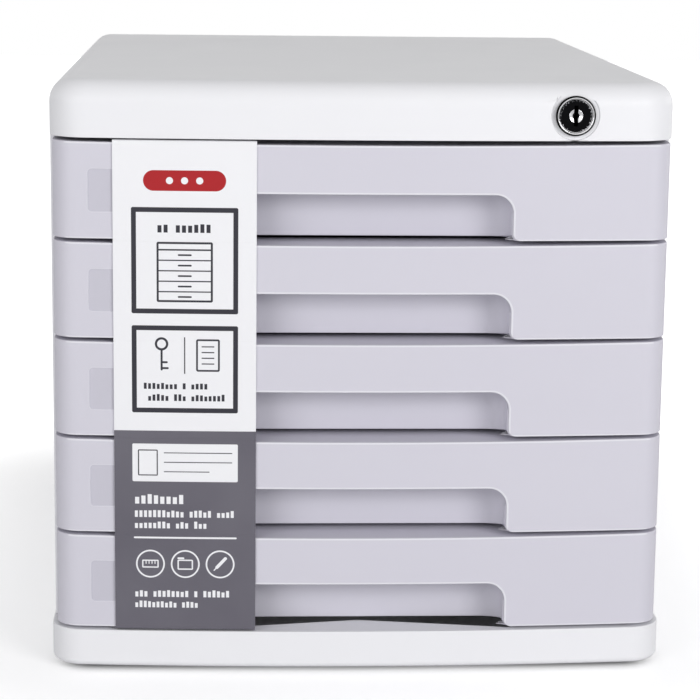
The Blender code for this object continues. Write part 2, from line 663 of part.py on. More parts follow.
def make_tray(number, lilac):
    floor_z = drawer_floor_z(number)
    low, high = floor_z + TRAY_RISE, floor_z + TRAY_RISE + TRAY_HEIGHT
    half = TRAY_HALF_WIDTH
    tray = box((-half, TRAY_FRONT_Y, low), (half, TRAY_BACK_Y, high), f"drawer_{number}_tray", lilac)
    runner_low = floor_z + RUNNER_RISE
    runner_high = runner_low + RUNNER_WALL
    root = half - TRAY_WALL / 2
    adds = []
    for side in (-1.0, 1.0):
        near, far = sorted((side * root, side * RUNNER_EDGE_X))
        adds.append(box((near, TRAY_FRONT_Y, runner_low), (far, TRAY_BACK_Y, runner_high)))
        near, far = sorted((side * root, side * (PANEL_INNER_X - LUG_SIDE_GAP)))
        adds.append(box((near, LUG_FRONT_Y, runner_low), (far, TRAY_BACK_Y, runner_high)))
    tab_y = tab_front_y()
    tab_low = runner_low - TAB_DROP
    adds.append(box((root, tab_y, tab_low), (RUNNER_EDGE_X, tab_y + TAB_DEPTH, runner_low + RUNNER_WALL / 2)))
    combine(tray, adds, "UNION")
    inner = half - TRAY_WALL
    hollow = box(
        (-inner, TRAY_FRONT_Y + TRAY_WALL, low + TRAY_FLOOR), (inner, TRAY_BACK_Y - TRAY_WALL, high + OVERRUN)
    )
    hole = SCREW_RADIUS + SCREW_CLEARANCE
    screw_z = floor_z + FRONT_SCREW_RISE
    y0, y1 = TRAY_FRONT_Y - OVERRUN, TRAY_FRONT_Y + TRAY_WALL + OVERRUN
    holes = [rod_y(x, screw_z, y0, y1, hole, SMALL_ROUND_STEPS) for x in (-FRONT_SCREW_X, FRONT_SCREW_X)]
    combine(tray, [hollow, *holes])
    return tray


def tab_front_y():
    return LANE_FRONT_Y + HOOK_DEPTH + TAB_GAP


def make_front_screws(number, steel):
    for side, x in enumerate((-FRONT_SCREW_X, FRONT_SCREW_X), 1):
        seat = TRAY_FRONT_Y + TRAY_WALL + SEAT_GAP
        profile = screw_profile(seat, seat - SCREW_LENGTH)
        z = drawer_floor_z(number) + FRONT_SCREW_RISE
        name = f"drawer_{number}_screw_{side}"
        turned("Y", x, 0.0, z, profile, SMALL_ROUND_STEPS, name, steel)


def make_card_strip(number, paper):
    """One strip of the card label; the top strip folds back over its front, the bottom one folds under."""
    floor_z = drawer_floor_z(number)
    reach = (FRONT_GAP - SEAT_GAP) / 2
    low, high = floor_z - reach, floor_z + FRONT_HEIGHT + reach
    if number == 1:
        high = floor_z + FRONT_HEIGHT + CARD_FLAP_CLEARANCE + CARD_THICKNESS
    if number == DRAWER_COUNT:
        low = floor_z - CARD_FLAP_CLEARANCE - CARD_THICKNESS
    places = [CARD_LEFT_X + CARD_WIDTH * i / BOW_STEPS for i in range(BOW_STEPS + 1)]
    faces = [(x, bow_y(x, FRONT_APEX_Y) - SEAT_GAP) for x in places]
    strip = lofted([(x, y - CARD_THICKNESS, y, low, high) for x, y in faces], f"drawer_{number}_card", paper)
    back = max(y for _, y in faces) + CARD_FLAP
    half = CARD_THICKNESS / 2
    flaps = []
    if number == 1:
        flaps.append(lofted([(x, y - half, back, high - CARD_THICKNESS, high) for x, y in faces], "flap"))
    if number == DRAWER_COUNT:
        flaps.append(lofted([(x, y - half, back, low, low + CARD_THICKNESS) for x, y in faces], "flap"))
    combine(strip, flaps, "UNION")
    return strip


# Lock


def ring_face_y():
    return lock_spot_y() - SEAT_GAP - LOCK_RING_HEIGHT


def cam_rear_y():
    return LANE_FRONT_Y - CAM_GAP


def cam_front_y():
    return cam_rear_y() - CAM_WALL


def make_lock_housing(chrome):
    front = ring_face_y()
    ring_back = front + LOCK_RING_HEIGHT
    rear = cam_front_y() - 2 * SEAT_GAP
    profile = [
        (front, LOCK_RING_RADIUS),
        (ring_back, LOCK_RING_RADIUS),
        (ring_back, LOCK_BARREL_RADIUS),
        (rear, LOCK_BARREL_RADIUS),
    ]
    housing = turned("Y", LOCK_X, 0.0, LOCK_Z, profile, ROUND_STEPS, "lock_housing", chrome)
    seat = front + LOCK_HEAD_SET + LOCK_HEAD_HEIGHT + SEAT_GAP
    bore = LOCK_BODY_RADIUS + SEAT_GAP
    head = LOCK_HEAD_RADIUS + SEAT_GAP
    profile = [(front - OVERRUN, head), (seat, head), (seat, bore), (rear + OVERRUN, bore)]
    combine(housing, [turned("Y", LOCK_X, 0.0, LOCK_Z, profile, ROUND_STEPS, "bore")])
    return housing


def make_lock_nut(chrome):
    front = lock_pad_y() + SEAT_GAP
    back = front + LOCK_NUT_HEIGHT
    hexagon = [(LOCK_X + a, LOCK_Z + b) for a, b in circle_points(LOCK_NUT_RADIUS, 6, 0.0)]
    nut = plate_xz(hexagon, front, back, "lock_nut", chrome)
    bore = LOCK_BARREL_RADIUS + SEAT_GAP
    combine(nut, [rod_y(LOCK_X, LOCK_Z, front - OVERRUN, back + OVERRUN, bore, ROUND_STEPS)])
    return nut


def make_lock_plug(black):
    """Key plug with a keyway and a square stub for the cam; its origin is on its own axis."""
    front = ring_face_y() + LOCK_HEAD_SET
    shoulder = front + LOCK_HEAD_HEIGHT
    rear = cam_front_y() - SEAT_GAP
    profile = [
        (front, LOCK_HEAD_RADIUS),
        (shoulder, LOCK_HEAD_RADIUS),
        (shoulder, LOCK_BODY_RADIUS),
        (rear, LOCK_BODY_RADIUS),
    ]
    plug = turned("Y", 0.0, 0.0, 0.0, profile, ROUND_STEPS, "lock_plug", black)
    half = STUB_WIDTH / 2
    combine(plug, [box((-half, rear - OVERRUN, -half), (half, cam_rear_y(), half))], "UNION")
    dimple = [
        (front - OVERRUN, DIMPLE_RADIUS),
        (front, DIMPLE_RADIUS),
        (front + DIMPLE_DEPTH, DIMPLE_RADIUS / 2),
    ]
    slot = box(
        (-KEYWAY_WIDTH / 2, front - OVERRUN, -KEYWAY_HEIGHT / 2),
        (KEYWAY_WIDTH / 2, front + KEYWAY_DEPTH, KEYWAY_HEIGHT / 2),
    )
    combine(plug, [turned("Y", 0.0, 0.0, 0.0, dimple, ROUND_STEPS // 2, "dimple"), slot])
    plug.location = (LOCK_X, 0.0, LOCK_Z)
    return plug


def crank_pin_place():
    """Where the crank pin stands at rest, from the plug's axis."""
    turn = math.radians(CRANK_REST_DEG)
    return CRANK_RADIUS * math.cos(turn), CRANK_RADIUS * math.sin(turn)


def make_lock_cam(steel, plug):
    cam = rod_y(0.0, 0.0, cam_front_y(), cam_rear_y(), CAM_RADIUS, ROUND_STEPS, "lock_cam", steel)
    x, z = crank_pin_place()
    pin_back = LANE_FRONT_Y + BAR_WALL + CRANK_PIN_TAIL
    mid = (cam_front_y() + cam_rear_y()) / 2
    combine(cam, [rod_y(x, z, mid, pin_back, CRANK_PIN_RADIUS, ROUND_STEPS // 2)], "UNION")
    half = STUB_WIDTH / 2 + SEAT_GAP
    hole = box((-half, cam_front_y() - OVERRUN, -half), (half, cam_rear_y() + OVERRUN, half))
    combine(cam, [hole])
    cam.parent = plug
    return cam


def make_lock_bar(steel):
    """Bent steel bar: an arm that the crank pin lifts, a strip down the side and one hook for each drawer."""
    outer_x = PANEL_INNER_X - SEAT_GAP
    inner_x = outer_x - BAR_WALL
    front, back = LANE_FRONT_Y, LANE_BACK_Y
    hook_low = drawer_floor_z(DRAWER_COUNT) + HOOK_TOP_RISE - HOOK_WALL
    top = ARM_Z + ARM_HALF_HEIGHT
    shoulder = top - BAR_SHOULDER_RISE
    strip_low = hook_low - BAR_FOOT_DROP
    bar = box((inner_x, front, strip_low), (outer_x, back, shoulder), "lock_bar", steel)
    turn_half = math.radians(CRANK_REST_DEG - 180.0)
    pin_near = LOCK_X - CRANK_RADIUS * math.cos(turn_half)
    pin_far = LOCK_X - CRANK_RADIUS
    slot_grow = CRANK_PIN_RADIUS + BAR_SLOT_PLAY
    arm_end = pin_far - slot_grow - ARM_END_WALL
    low = ARM_Z - ARM_HALF_HEIGHT
    bend_x = outer_x - BAR_SHOULDER_RUN
    arm_outline = [(arm_end, low), (outer_x, low), (outer_x, shoulder), (bend_x, top), (arm_end, top)]
    adds = [plate_xz(arm_outline, front, front + BAR_WALL)]
    hook_x = TRAY_HALF_WIDTH + HOOK_TRAY_GAP
    for number in range(1, DRAWER_COUNT + 1):
        hook_top = drawer_floor_z(number) + HOOK_TOP_RISE
        root_x = (inner_x + outer_x) / 2
        adds.append(box((hook_x, front, hook_top - HOOK_WALL), (root_x, front + HOOK_DEPTH, hook_top)))
    combine(bar, adds, "UNION")
    cuts = [
        box(
            (pin_far - slot_grow, front - OVERRUN, ARM_Z - slot_grow),
            (pin_near + slot_grow, front + BAR_WALL + OVERRUN, ARM_Z + slot_grow),
        )
    ]
    for number in BAR_PIN_DRAWERS:
        y, z = bar_pin_place(number)
        grow = SCREW_RADIUS + BAR_SLOT_PLAY
        low_z = z - BAR_TRAVEL - grow
        cuts.append(box((inner_x - OVERRUN, y - grow, low_z), (outer_x + OVERRUN, y + grow, z + grow)))
    combine(bar, cuts)
    return bar


def bar_pin_place(number):
    return (LANE_FRONT_Y + LANE_BACK_Y) / 2, drawer_floor_z(number) + FRONT_HEIGHT - BAR_PIN_DROP


def bar_pin_tip_x():
    return PANEL_INNER_X + BAR_PIN_GRIP


def pin_rod(number, x0, x1, grow):
    """A rod along X at one of the bar's guide pins."""
    y, z = bar_pin_place(number)
    circle = circle_points(SCREW_RADIUS + grow, SMALL_ROUND_STEPS)
    return stacked_rings([[(x, y + a, z + b) for a, b in circle] for x in (x0, x1)], "pin_rod")


def make_bar_pins(steel):
    """Headed pins that hold the bar flat against the right panel while it slides."""
    head_in = PANEL_INNER_X - 2 * SEAT_GAP - BAR_WALL
    places = (head_in - SCREW_HEAD_HEIGHT, head_in, head_in, bar_pin_tip_x())
    radii = (SCREW_HEAD_RADIUS, SCREW_HEAD_RADIUS, SCREW_RADIUS, SCREW_RADIUS)
    for index, number in enumerate(BAR_PIN_DRAWERS, 1):
        y, z = bar_pin_place(number)
        rings = [
            [(x, y + a, z + b) for a, b in circle_points(radius, SMALL_ROUND_STEPS)]
            for x, radius in zip(places, radii)
        ]
        stacked_rings(rings, f"lock_bar_pin_{index}", steel)


# Whole object


def shade(obj):
    obj.data.shade_smooth()
    obj.data.set_sharp_from_angle(angle=math.radians(SMOOTH_ANGLE_DEG))


def main():
    for obj in list(bpy.data.objects):
        bpy.data.objects.remove(obj)
    white = material("white_plastic", (0.86, 0.86, 0.87), 0.45)
    lilac = material("lilac_grey_plastic", (0.62, 0.61, 0.68), 0.4)
    rubber = material("black_rubber", (0.03, 0.03, 0.03), 0.8)
    steel = material("steel", (0.62, 0.62, 0.64), 0.35, 1.0)
    chrome = material("chrome", (0.75, 0.75, 0.76), 0.12, 1.0)
    black = material("black_lock_face", (0.02, 0.02, 0.02), 0.25, 0.2)
    paper = material("printed_card", (0.85, 0.85, 0.87), 0.55)
    make_base(white)
    make_feet(rubber)
    make_cap(white)
    make_side_panels(white)
    make_back_panel(white)
    make_case_screws(steel)
    for number in range(1, DRAWER_COUNT + 1):
        make_front(number, lilac)
        make_tray(number, lilac)
        make_front_screws(number, steel)
        make_card_strip(number, paper)
    make_lock_housing(chrome)
    make_lock_nut(chrome)
    plug = make_lock_plug(black)
    make_lock_cam(steel, plug)
    make_lock_bar(steel)
    make_bar_pins(steel)
    for obj in bpy.data.objects:
        shade(obj)
    print(f"drawer travel {DRAWER_TRAVEL:.6f} m, lock bar travel {BAR_TRAVEL:.6f} m, height {TOP_Z:.6f} m")


main()
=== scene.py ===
# %% [markdown]
# A desktop cabinet with five drawers
# This lesson dresses a imported CAD model of a desk cabinet: a white base and cover, five lilac-grey
# drawers with a bowed front, a printed card band and a key lock. Every piece that the eye meets gets
# finer edges and a finish made of nodes.
# The frame is loaded first, so that each new piece can stand exactly where its CAD solid stands.

# %% Load the frame
import math

import bmesh
import bpy
from mathutils import Matrix, Vector


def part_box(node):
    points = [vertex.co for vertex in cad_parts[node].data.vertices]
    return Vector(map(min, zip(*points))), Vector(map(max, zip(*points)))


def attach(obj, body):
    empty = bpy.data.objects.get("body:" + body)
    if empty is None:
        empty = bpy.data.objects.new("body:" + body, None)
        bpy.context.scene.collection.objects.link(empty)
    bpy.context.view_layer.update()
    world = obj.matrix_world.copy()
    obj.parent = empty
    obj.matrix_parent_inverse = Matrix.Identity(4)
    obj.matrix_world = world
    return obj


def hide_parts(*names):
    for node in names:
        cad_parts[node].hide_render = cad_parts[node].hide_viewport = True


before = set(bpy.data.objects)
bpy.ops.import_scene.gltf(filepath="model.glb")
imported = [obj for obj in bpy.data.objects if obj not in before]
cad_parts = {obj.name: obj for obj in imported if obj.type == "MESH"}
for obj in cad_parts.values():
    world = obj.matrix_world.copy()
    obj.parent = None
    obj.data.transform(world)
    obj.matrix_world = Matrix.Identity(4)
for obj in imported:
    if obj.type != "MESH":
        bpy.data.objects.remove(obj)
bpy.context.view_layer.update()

MM = 0.001

# %% [markdown]
# The sizes are those of the CAD model, in metres, with Z up, X to the right and Y to the back.
# The fronts, the cover and the base all follow one wide arc, seen from above. Keeping its radius and
# the pitch of the drawers as names means that every piece lands on the same curve.

# %% Sizes that the pieces share
FRONT_Y = -180.5 * MM
BACK_Y = 180.5 * MM
BOW_RADIUS = 1530.0 * MM
FRONT_APEX_Y = -180.0 * MM
FRONT_HALF = 133.2 * MM
FRONT_REAR_Y = -152.8 * MM
FRONT_HEIGHT = 41.5 * MM
FRONT_WALL = 2.5 * MM
PITCH = 43.0 * MM
FLOORS = [192.5 * MM - PITCH * step for step in range(5)]
TOP_FLOOR = FLOORS[0]
LOCK_X, LOCK_Z = 89.7 * MM, 246.3 * MM
print("drawer floors in mm", [round(z / MM, 1) for z in FLOORS])


def bow_y(x, apex=FRONT_APEX_Y, radius=BOW_RADIUS):
    """How far back the wide arc lies at a place across the front."""
    return apex + radius - math.sqrt(radius * radius - x * x)


# %% [markdown]
# Operators act on whatever is selected, and the frame arrives selected, so each step starts from
# nothing. In edit mode, faces and edges are picked in code by their place and their normal, which
# stays right when a size changes, where a list of index numbers would not.

# %% Selecting, editing and finishing
def only(piece):
    """Leave edit mode and make one piece the selected and active one."""
    if bpy.context.mode != "OBJECT":
        bpy.ops.object.mode_set(mode="OBJECT")
    bpy.ops.object.select_all(action="DESELECT")
    if piece:
        piece.select_set(True)
        bpy.context.view_layer.objects.active = piece


def edit(piece):
    only(piece)
    bpy.ops.object.mode_set(mode="EDIT")


def pick(kind, test):
    """Select the vertices, edges or faces of the mesh in edit mode that pass the test."""
    bpy.ops.mesh.select_mode(type=kind)
    bpy.ops.mesh.select_all(action="DESELECT")
    mesh = bpy.context.object.data
    shape = bmesh.from_edit_mesh(mesh)
    parts = {"VERT": shape.verts, "EDGE": shape.edges, "FACE": shape.faces}[kind]
    chosen = 0
    for part in parts:
        if kind == "VERT":
            place, facing = part.co, part.normal
        elif kind == "EDGE":
            place, facing = (part.verts[0].co + part.verts[1].co) / 2, part.verts[1].co - part.verts[0].co
        else:
            place, facing = part.calc_center_median(), part.normal
        if test(place, facing):
            part.select_set(True)
            chosen += 1
    shape.select_flush_mode()
    bmesh.update_edit_mesh(mesh)
    return chosen


def push(x=0.0, y=0.0, z=0.0):
    """Extrude what is selected by a step."""
    bpy.ops.mesh.extrude_region_move(TRANSFORM_OT_translate={"value": (x, y, z)})


def face_outwards():
    bpy.ops.mesh.select_all(action="SELECT")
    bpy.ops.mesh.remove_doubles(threshold=0.00001)
    bpy.ops.mesh.normals_make_consistent(inside=False)


def finish_with(piece, kind, **settings):
    """Add a modifier and apply it."""
    only(piece)
    modifier = piece.modifiers.new(kind.title(), kind)
    for name, value in settings.items():
        setattr(modifier, name, value)
    bpy.ops.object.modifier_apply(modifier=modifier.name)


def combine(piece, operation, *tools):
    """Cut the tools out of the piece, or add them to it."""
    for tool in tools:
        only(piece)
        finish_with(piece, "BOOLEAN", operation=operation, solver="EXACT", object=tool)
        bpy.data.objects.remove(tool)


def round_off(width, segments):
    """Bevel the picked edges."""
    bpy.ops.mesh.bevel(offset=width, segments=segments, profile=0.5, affect="EDGES", clamp_overlap=False)


def slice_at(place, facing, threshold=1e-4):
    """Cut the whole mesh by a plane and keep both halves."""
    bpy.ops.mesh.select_all(action="SELECT")
    bpy.ops.mesh.bisect(plane_co=place, plane_no=facing, threshold=threshold)


def ease_edges(piece, width, segments=3, angle=40.0):
    finish_with(piece, "BEVEL", width=width, segments=segments, limit_method="ANGLE",
                angle_limit=math.radians(angle), use_clamp_overlap=False)


def shade(piece, angle=35.0):
    """Smooth shading with crisp corners; the weighted normals keep the flats flat."""
    only(piece)
    bpy.ops.object.shade_smooth_by_angle(angle=math.radians(angle))
    finish_with(piece, "WEIGHTED_NORMAL", keep_sharp=True, weight=60)


def block(name, low, high):
    """A cube primitive at its size and place, left in edit mode for shaping."""
    only(None)
    low, high = Vector(low), Vector(high)
    bpy.ops.mesh.primitive_cube_add(size=1.0, location=(low + high) / 2, scale=high - low)
    piece = bpy.context.object
    piece.name = name
    bpy.ops.object.transform_apply(location=True, rotation=True, scale=True)
    bpy.ops.object.mode_set(mode="EDIT")
    return piece


def copy_of(piece, name, offset=(0.0, 0.0, 0.0)):
    """A second one of a piece, with its own mesh, moved and left at the origin."""
    only(piece)
    bpy.ops.object.duplicate(linked=False)
    twin = bpy.context.object
    twin.name = name
    edit(twin)
    bpy.ops.mesh.select_all(action="SELECT")
    bpy.ops.transform.translate(value=offset)
    only(twin)
    return twin


# %% [markdown]
# Most outlines here are arcs joined by straight lines. By hand one would start with a single vertex,
# extrude it for a line and spin it for an arc. The pen below does just that, so that each round is a
# true arc with its centre in the right place.

# %% A pen that draws with extrude and spin
UP, FRONTAL, RIGHT = (0, 0, -1), (0, 1, 0), (-1, 0, 0)


class Pen:
    """Draws one outline; angles are counter-clockwise seen from above, from the front or from the right."""

    def __init__(self, name, start, axis=UP):
        only(None)
        bpy.ops.mesh.primitive_plane_add(size=MM, location=start)
        self.piece, self.axis = bpy.context.object, axis
        self.piece.name = name
        bpy.ops.object.transform_apply(location=True, rotation=True, scale=True)
        bpy.ops.object.mode_set(mode="EDIT")
        bpy.ops.mesh.select_mode(type="VERT")
        bpy.ops.mesh.select_all(action="SELECT")
        bpy.ops.mesh.merge(type="CENTER")

    def line(self, x=0.0, y=0.0, z=0.0):
        push(x, y, z)

    def arc(self, centre, degrees, steps):
        bpy.ops.mesh.spin(steps=steps, angle=math.radians(degrees), center=centre, axis=self.axis)

    def raised(self, x=0.0, y=0.0, z=0.0):
        """Close the outline, fill it and extrude it into a solid."""
        bpy.ops.mesh.select_all(action="SELECT")
        bpy.ops.mesh.remove_doubles(threshold=0.00001)
        bpy.ops.mesh.edge_face_add()
        push(x, y, z)
        face_outwards()
        return self.piece

    def turned(self, centre, axis, steps):
        """Close a profile and spin it all the way round an axis."""
        bpy.ops.mesh.select_all(action="SELECT")
        bpy.ops.mesh.spin(steps=steps, angle=math.tau, center=centre, axis=axis)
        face_outwards()
        return self.piece


def plan(name, half, apex, rear, corner, z, radius=BOW_RADIUS, rear_corner=0.0, steps=(24, 10)):
    """Outline seen from above: bowed front, two round front corners, and a rear that may be round."""
    bow_steps, corner_steps = steps
    middle_y = apex + radius
    corner_x = half - corner
    corner_y = middle_y - math.sqrt((radius - corner) ** 2 - corner_x**2)
    lean = math.degrees(math.atan2(corner_x, middle_y - corner_y))
    start = (-radius * math.sin(math.radians(lean)), middle_y - radius * math.cos(math.radians(lean)), z)
    pen = Pen(name, start)
    pen.arc((0.0, middle_y, z), 2 * lean, bow_steps)
    pen.arc((corner_x, corner_y, z), 90 - lean, corner_steps)
    pen.line(y=rear - rear_corner - corner_y)
    if rear_corner:
        pen.arc((half - rear_corner, rear - rear_corner, z), 90, corner_steps)
    pen.line(x=2 * (rear_corner - half))
    if rear_corner:
        pen.arc((rear_corner - half, rear - rear_corner, z), 90, corner_steps)
    pen.line(y=corner_y + rear_corner - rear)
    pen.arc((-corner_x, corner_y, z), 90 - lean, corner_steps)
    return pen


# %% [markdown]
# A finish is a small graph of shader nodes. Writing its arithmetic as Python expressions keeps it
# readable: a Signal wraps the output of a node, and adding or multiplying Signals adds Math nodes.
# All patterns read Object coordinates. Every piece sits at the origin, so the same place on two
# pieces gets the same grain, and the pattern rides along when a drawer slides.

# %% Signals and finishes
class Signal:
    """An output of a node, with Python's arithmetic."""

    def __init__(self, finish, socket):
        self.finish, self.socket = finish, socket

    def math(self, operation, *others, first=None):
        values = [self, *others] if first is None else [first, self]
        return self.finish.node("ShaderNodeMath", {"operation": operation}, dict(enumerate(values)))

    def __add__(self, other):
        return self.math("ADD", other)

    def __sub__(self, other):
        return self.math("SUBTRACT", other)

    def __rsub__(self, other):
        return self.math("SUBTRACT", first=other)

    def __mul__(self, other):
        return self.math("MULTIPLY", other)

    def __truediv__(self, other):
        return self.math("DIVIDE", other)

    __radd__, __rmul__ = __add__, __mul__

    def size(self):
        return self.math("ABSOLUTE")

    def least(self, other):
        return self.math("MINIMUM", other)

    def most(self, other):
        return self.math("MAXIMUM", other)

    def below(self, edge, blur):
        """1 where the signal is below the edge and 0 above it, with a soft step."""
        return self.finish.node(
            "ShaderNodeMapRange", {"interpolation_type": "SMOOTHSTEP"},
            {"Value": self, "From Min": edge - blur, "From Max": edge + blur, "To Min": 1.0, "To Max": 0.0})


class Finish:
    """One material, built around a Principled shader."""

    def __init__(self, name, roughness, metallic=0.0, coat=0.0, coat_roughness=0.2, specular=0.5):
        self.material = bpy.data.materials.new(name)
        self.material.use_nodes = True
        self.tree = self.material.node_tree
        self.shader = self.tree.nodes["Principled BSDF"]
        self.shader.inputs["Roughness"].default_value = roughness
        self.shader.inputs["Metallic"].default_value = metallic
        self.shader.inputs["Coat Weight"].default_value = coat
        self.shader.inputs["Coat Roughness"].default_value = coat_roughness
        self.shader.inputs["Specular IOR Level"].default_value = specular
        self.object_place = self.node("ShaderNodeTexCoord", {}, {}, "Object")

    def node(self, kind, settings, inputs, output=0):
        """Any node: its settings first, then the values or links of its sockets."""
        made = self.tree.nodes.new(kind)
        for name, value in settings.items():
            setattr(made, name, value)
        for name, value in inputs.items():
            if isinstance(value, Signal):
                self.tree.links.new(value.socket, made.inputs[name])
            else:
                made.inputs[name].default_value = value
        return Signal(self, made.outputs[output])

    def noise(self, scale, detail=2.0, roughness=0.5, place=None):
        inputs = {"Vector": place or self.object_place, "Scale": scale, "Detail": detail,
                  "Roughness": roughness}
        return self.node("ShaderNodeTexNoise", {}, inputs)

    def stretched(self, x, y, z):
        """Object coordinates scaled along each axis, for streaks."""
        return self.node("ShaderNodeMapping", {}, {"Vector": self.object_place, "Scale": (x, y, z)})

    def axes(self):
        """The three coordinates in millimetres."""
        split = self.node("ShaderNodeSeparateXYZ", {}, {"Vector": self.object_place})
        outputs = split.socket.node.outputs
        return [Signal(self, socket) * 1000.0 for socket in outputs]

    def mixed(self, share, first, second):
        """A colour that goes from the first to the second."""
        made = self.tree.nodes.new("ShaderNodeMix")
        made.data_type = "RGBA"
        for index, value in ((0, share), (6, first), (7, second)):
            if isinstance(value, Signal):
                self.tree.links.new(value.socket, made.inputs[index])
            else:
                made.inputs[index].default_value = value if index == 0 else (*value, 1.0)
        return Signal(self, made.outputs[2])

    def bump(self, height, strength, distance):
        return self.node("ShaderNodeBump", {},
                         {"Height": height, "Strength": strength, "Distance": distance})

    def wire(self, **signals):
        """Join signals to the shader: Base_Color stands for the Base Color socket, and so on."""
        for name, signal in signals.items():
            self.tree.links.new(signal.socket, self.shader.inputs[name.replace("_", " ")])
        return self.material


def shade_of(red, green, blue):
    """A colour as one would read it off a screen, turned into the linear numbers of the shader."""
    return tuple((c / 255 / 12.92) if c <= 10 else ((c / 255 + 0.055) / 1.055) ** 2.4
                 for c in (red, green, blue))


# %% [markdown]
# Moulded plastic is never one flat colour. The mould's spark-eroded texture is a grain a few tenths of
# a millimetre wide, the colour drifts a little where the melt met, and handling leaves faint smudges.
# The same recipe serves the white case and the lilac-grey drawers.

# %% Moulded plastic
GRAIN_SCALE = 2600.0
MOTTLE_SCALE = 14.0


def moulded_plastic(name, colour, shadow_colour, roughness, grain, marks=None):
    finish = Finish(name, roughness, specular=0.35)
    grain_height = finish.noise(GRAIN_SCALE, 1.0)
    drift = finish.noise(MOTTLE_SCALE, 3.0)
    smudge = finish.noise(38.0, 4.0, 0.6)
    tint = finish.mixed(drift * 0.5, colour, shadow_colour)
    if marks:
        tint = marks(finish, tint)
    rough = (smudge - 0.5) * 0.16 + (grain_height - 0.5) * 0.06 + roughness
    return finish.wire(Base_Color=tint, Roughness=rough, Normal=finish.bump(grain_height, grain, 0.00005))


WHITE = moulded_plastic("case_white_plastic", shade_of(241, 241, 244), shade_of(236, 236, 240), 0.42, 0.20)
print("case plastic", WHITE.name)

# %% [markdown]
# The metal parts are a chromed lock, and steel for the cam, the bar and the screws. Brushed steel is
# noise stretched along one axis, which varies both roughness and height. Chrome is nearly a mirror and
# shows only fine handling marks, with painted shade on the lock ring's outer edge. Rubber is dark, dull and a
# little dusty.

# %% Metals and rubber
def brushed_metal(name, colour, roughness, stretch, streak, metallic=1.0, marks=None):
    finish = Finish(name, roughness, metallic=metallic)
    lines = finish.noise(900.0, 2.0, place=finish.stretched(*stretch))
    stain = finish.noise(60.0, 3.0)
    tint = finish.mixed(stain * 0.4, colour, tuple(c * 0.82 for c in colour))
    if marks:
        tint = marks(finish, tint)
    rough = (lines - 0.5) * streak + (stain - 0.5) * 0.12 + roughness
    return finish.wire(Base_Color=tint, Roughness=rough, Normal=finish.bump(lines, 0.12, 0.00003))


def from_lock_axis(finish):
    """How far a place lies along the axis of the lock, and how far from it all round, in mm."""
    x, y, z = finish.axes()
    across, upward = x - LOCK_X / MM, z - LOCK_Z / MM
    return y, (across * across + upward * upward).math("SQRT")


def painted_rim_shade(finish, tint):
    """The ring's outer edge is painted dark as shade, and what lies behind the cover's wall isn't."""
    depth, radius = from_lock_axis(finish)
    # Painted shade: a dark band round the outside of the chrome ring.
    rim = (1.0 - radius.below(7.85, 0.06)) * radius.below(9.0, 0.1) * depth.below(-170.0, 1.0)
    return finish.mixed(rim, tint, shade_of(10, 10, 12))


STEEL = brushed_metal("zinc_plated_steel", shade_of(196, 198, 203), 0.34, (1.0, 1.0, 0.06), 0.20)
CHROME = brushed_metal("lock_chrome", shade_of(236, 236, 238), 0.12, (1.0, 0.2, 1.0), 0.08, marks=painted_rim_shade)


def lock_face_black():
    """Black lacquer on the key plug, with light grey specks on its rim that are painted glints."""
    finish = Finish("lock_black_lacquer", 0.5, coat=0.01, coat_roughness=0.3, specular=0.04)
    speck = finish.noise(1900.0, 2.0)
    glint_noise = finish.noise(1500.0, 2.0, 0.6)
    _, radius = from_lock_axis(finish)
    # Painted glints: light grey specks scattered over the plug's rim.
    painted_glints = (1.0 - radius.below(6.35, 0.25)) * (1.0 - glint_noise.below(0.60, 0.03))
    tint = finish.mixed(painted_glints, shade_of(7, 7, 9), shade_of(205, 205, 210))
    rough = (speck - 0.5) * 0.25 + 0.45
    return finish.wire(Base_Color=tint, Roughness=rough, Normal=finish.bump(speck, 0.25, 0.00005))


def foot_rubber():
    finish = Finish("foot_rubber", 0.8, specular=0.3)
    grain = finish.noise(1500.0, 3.0)
    dust = finish.noise(120.0, 4.0, 0.65)
    tint = finish.mixed(dust.below(0.45, 0.12), shade_of(38, 38, 40), shade_of(62, 61, 60))
    return finish.wire(Base_Color=tint, Roughness=grain * 0.15 + 0.7,
                       Normal=finish.bump(grain, 0.35, 0.0001))


LOCK_BLACK = lock_face_black()
RUBBER = foot_rubber()
print("metals and rubber", STEEL.name, CHROME.name, LOCK_BLACK.name, RUBBER.name)

# %% [markdown]
# The card band is printed board: white above, dark grey below, with a satin varnish. The ink is part of
# the colour, so it is drawn in the shader as masks in millimetres across the front. Its words and marks
# are left generic: blocks stand in for lines of text, and plain pictograms for the contents. A mask is
# built from distances, so that its edge stays sharp at any render size.

# %% Ink masks
INK_BLUR = 0.07


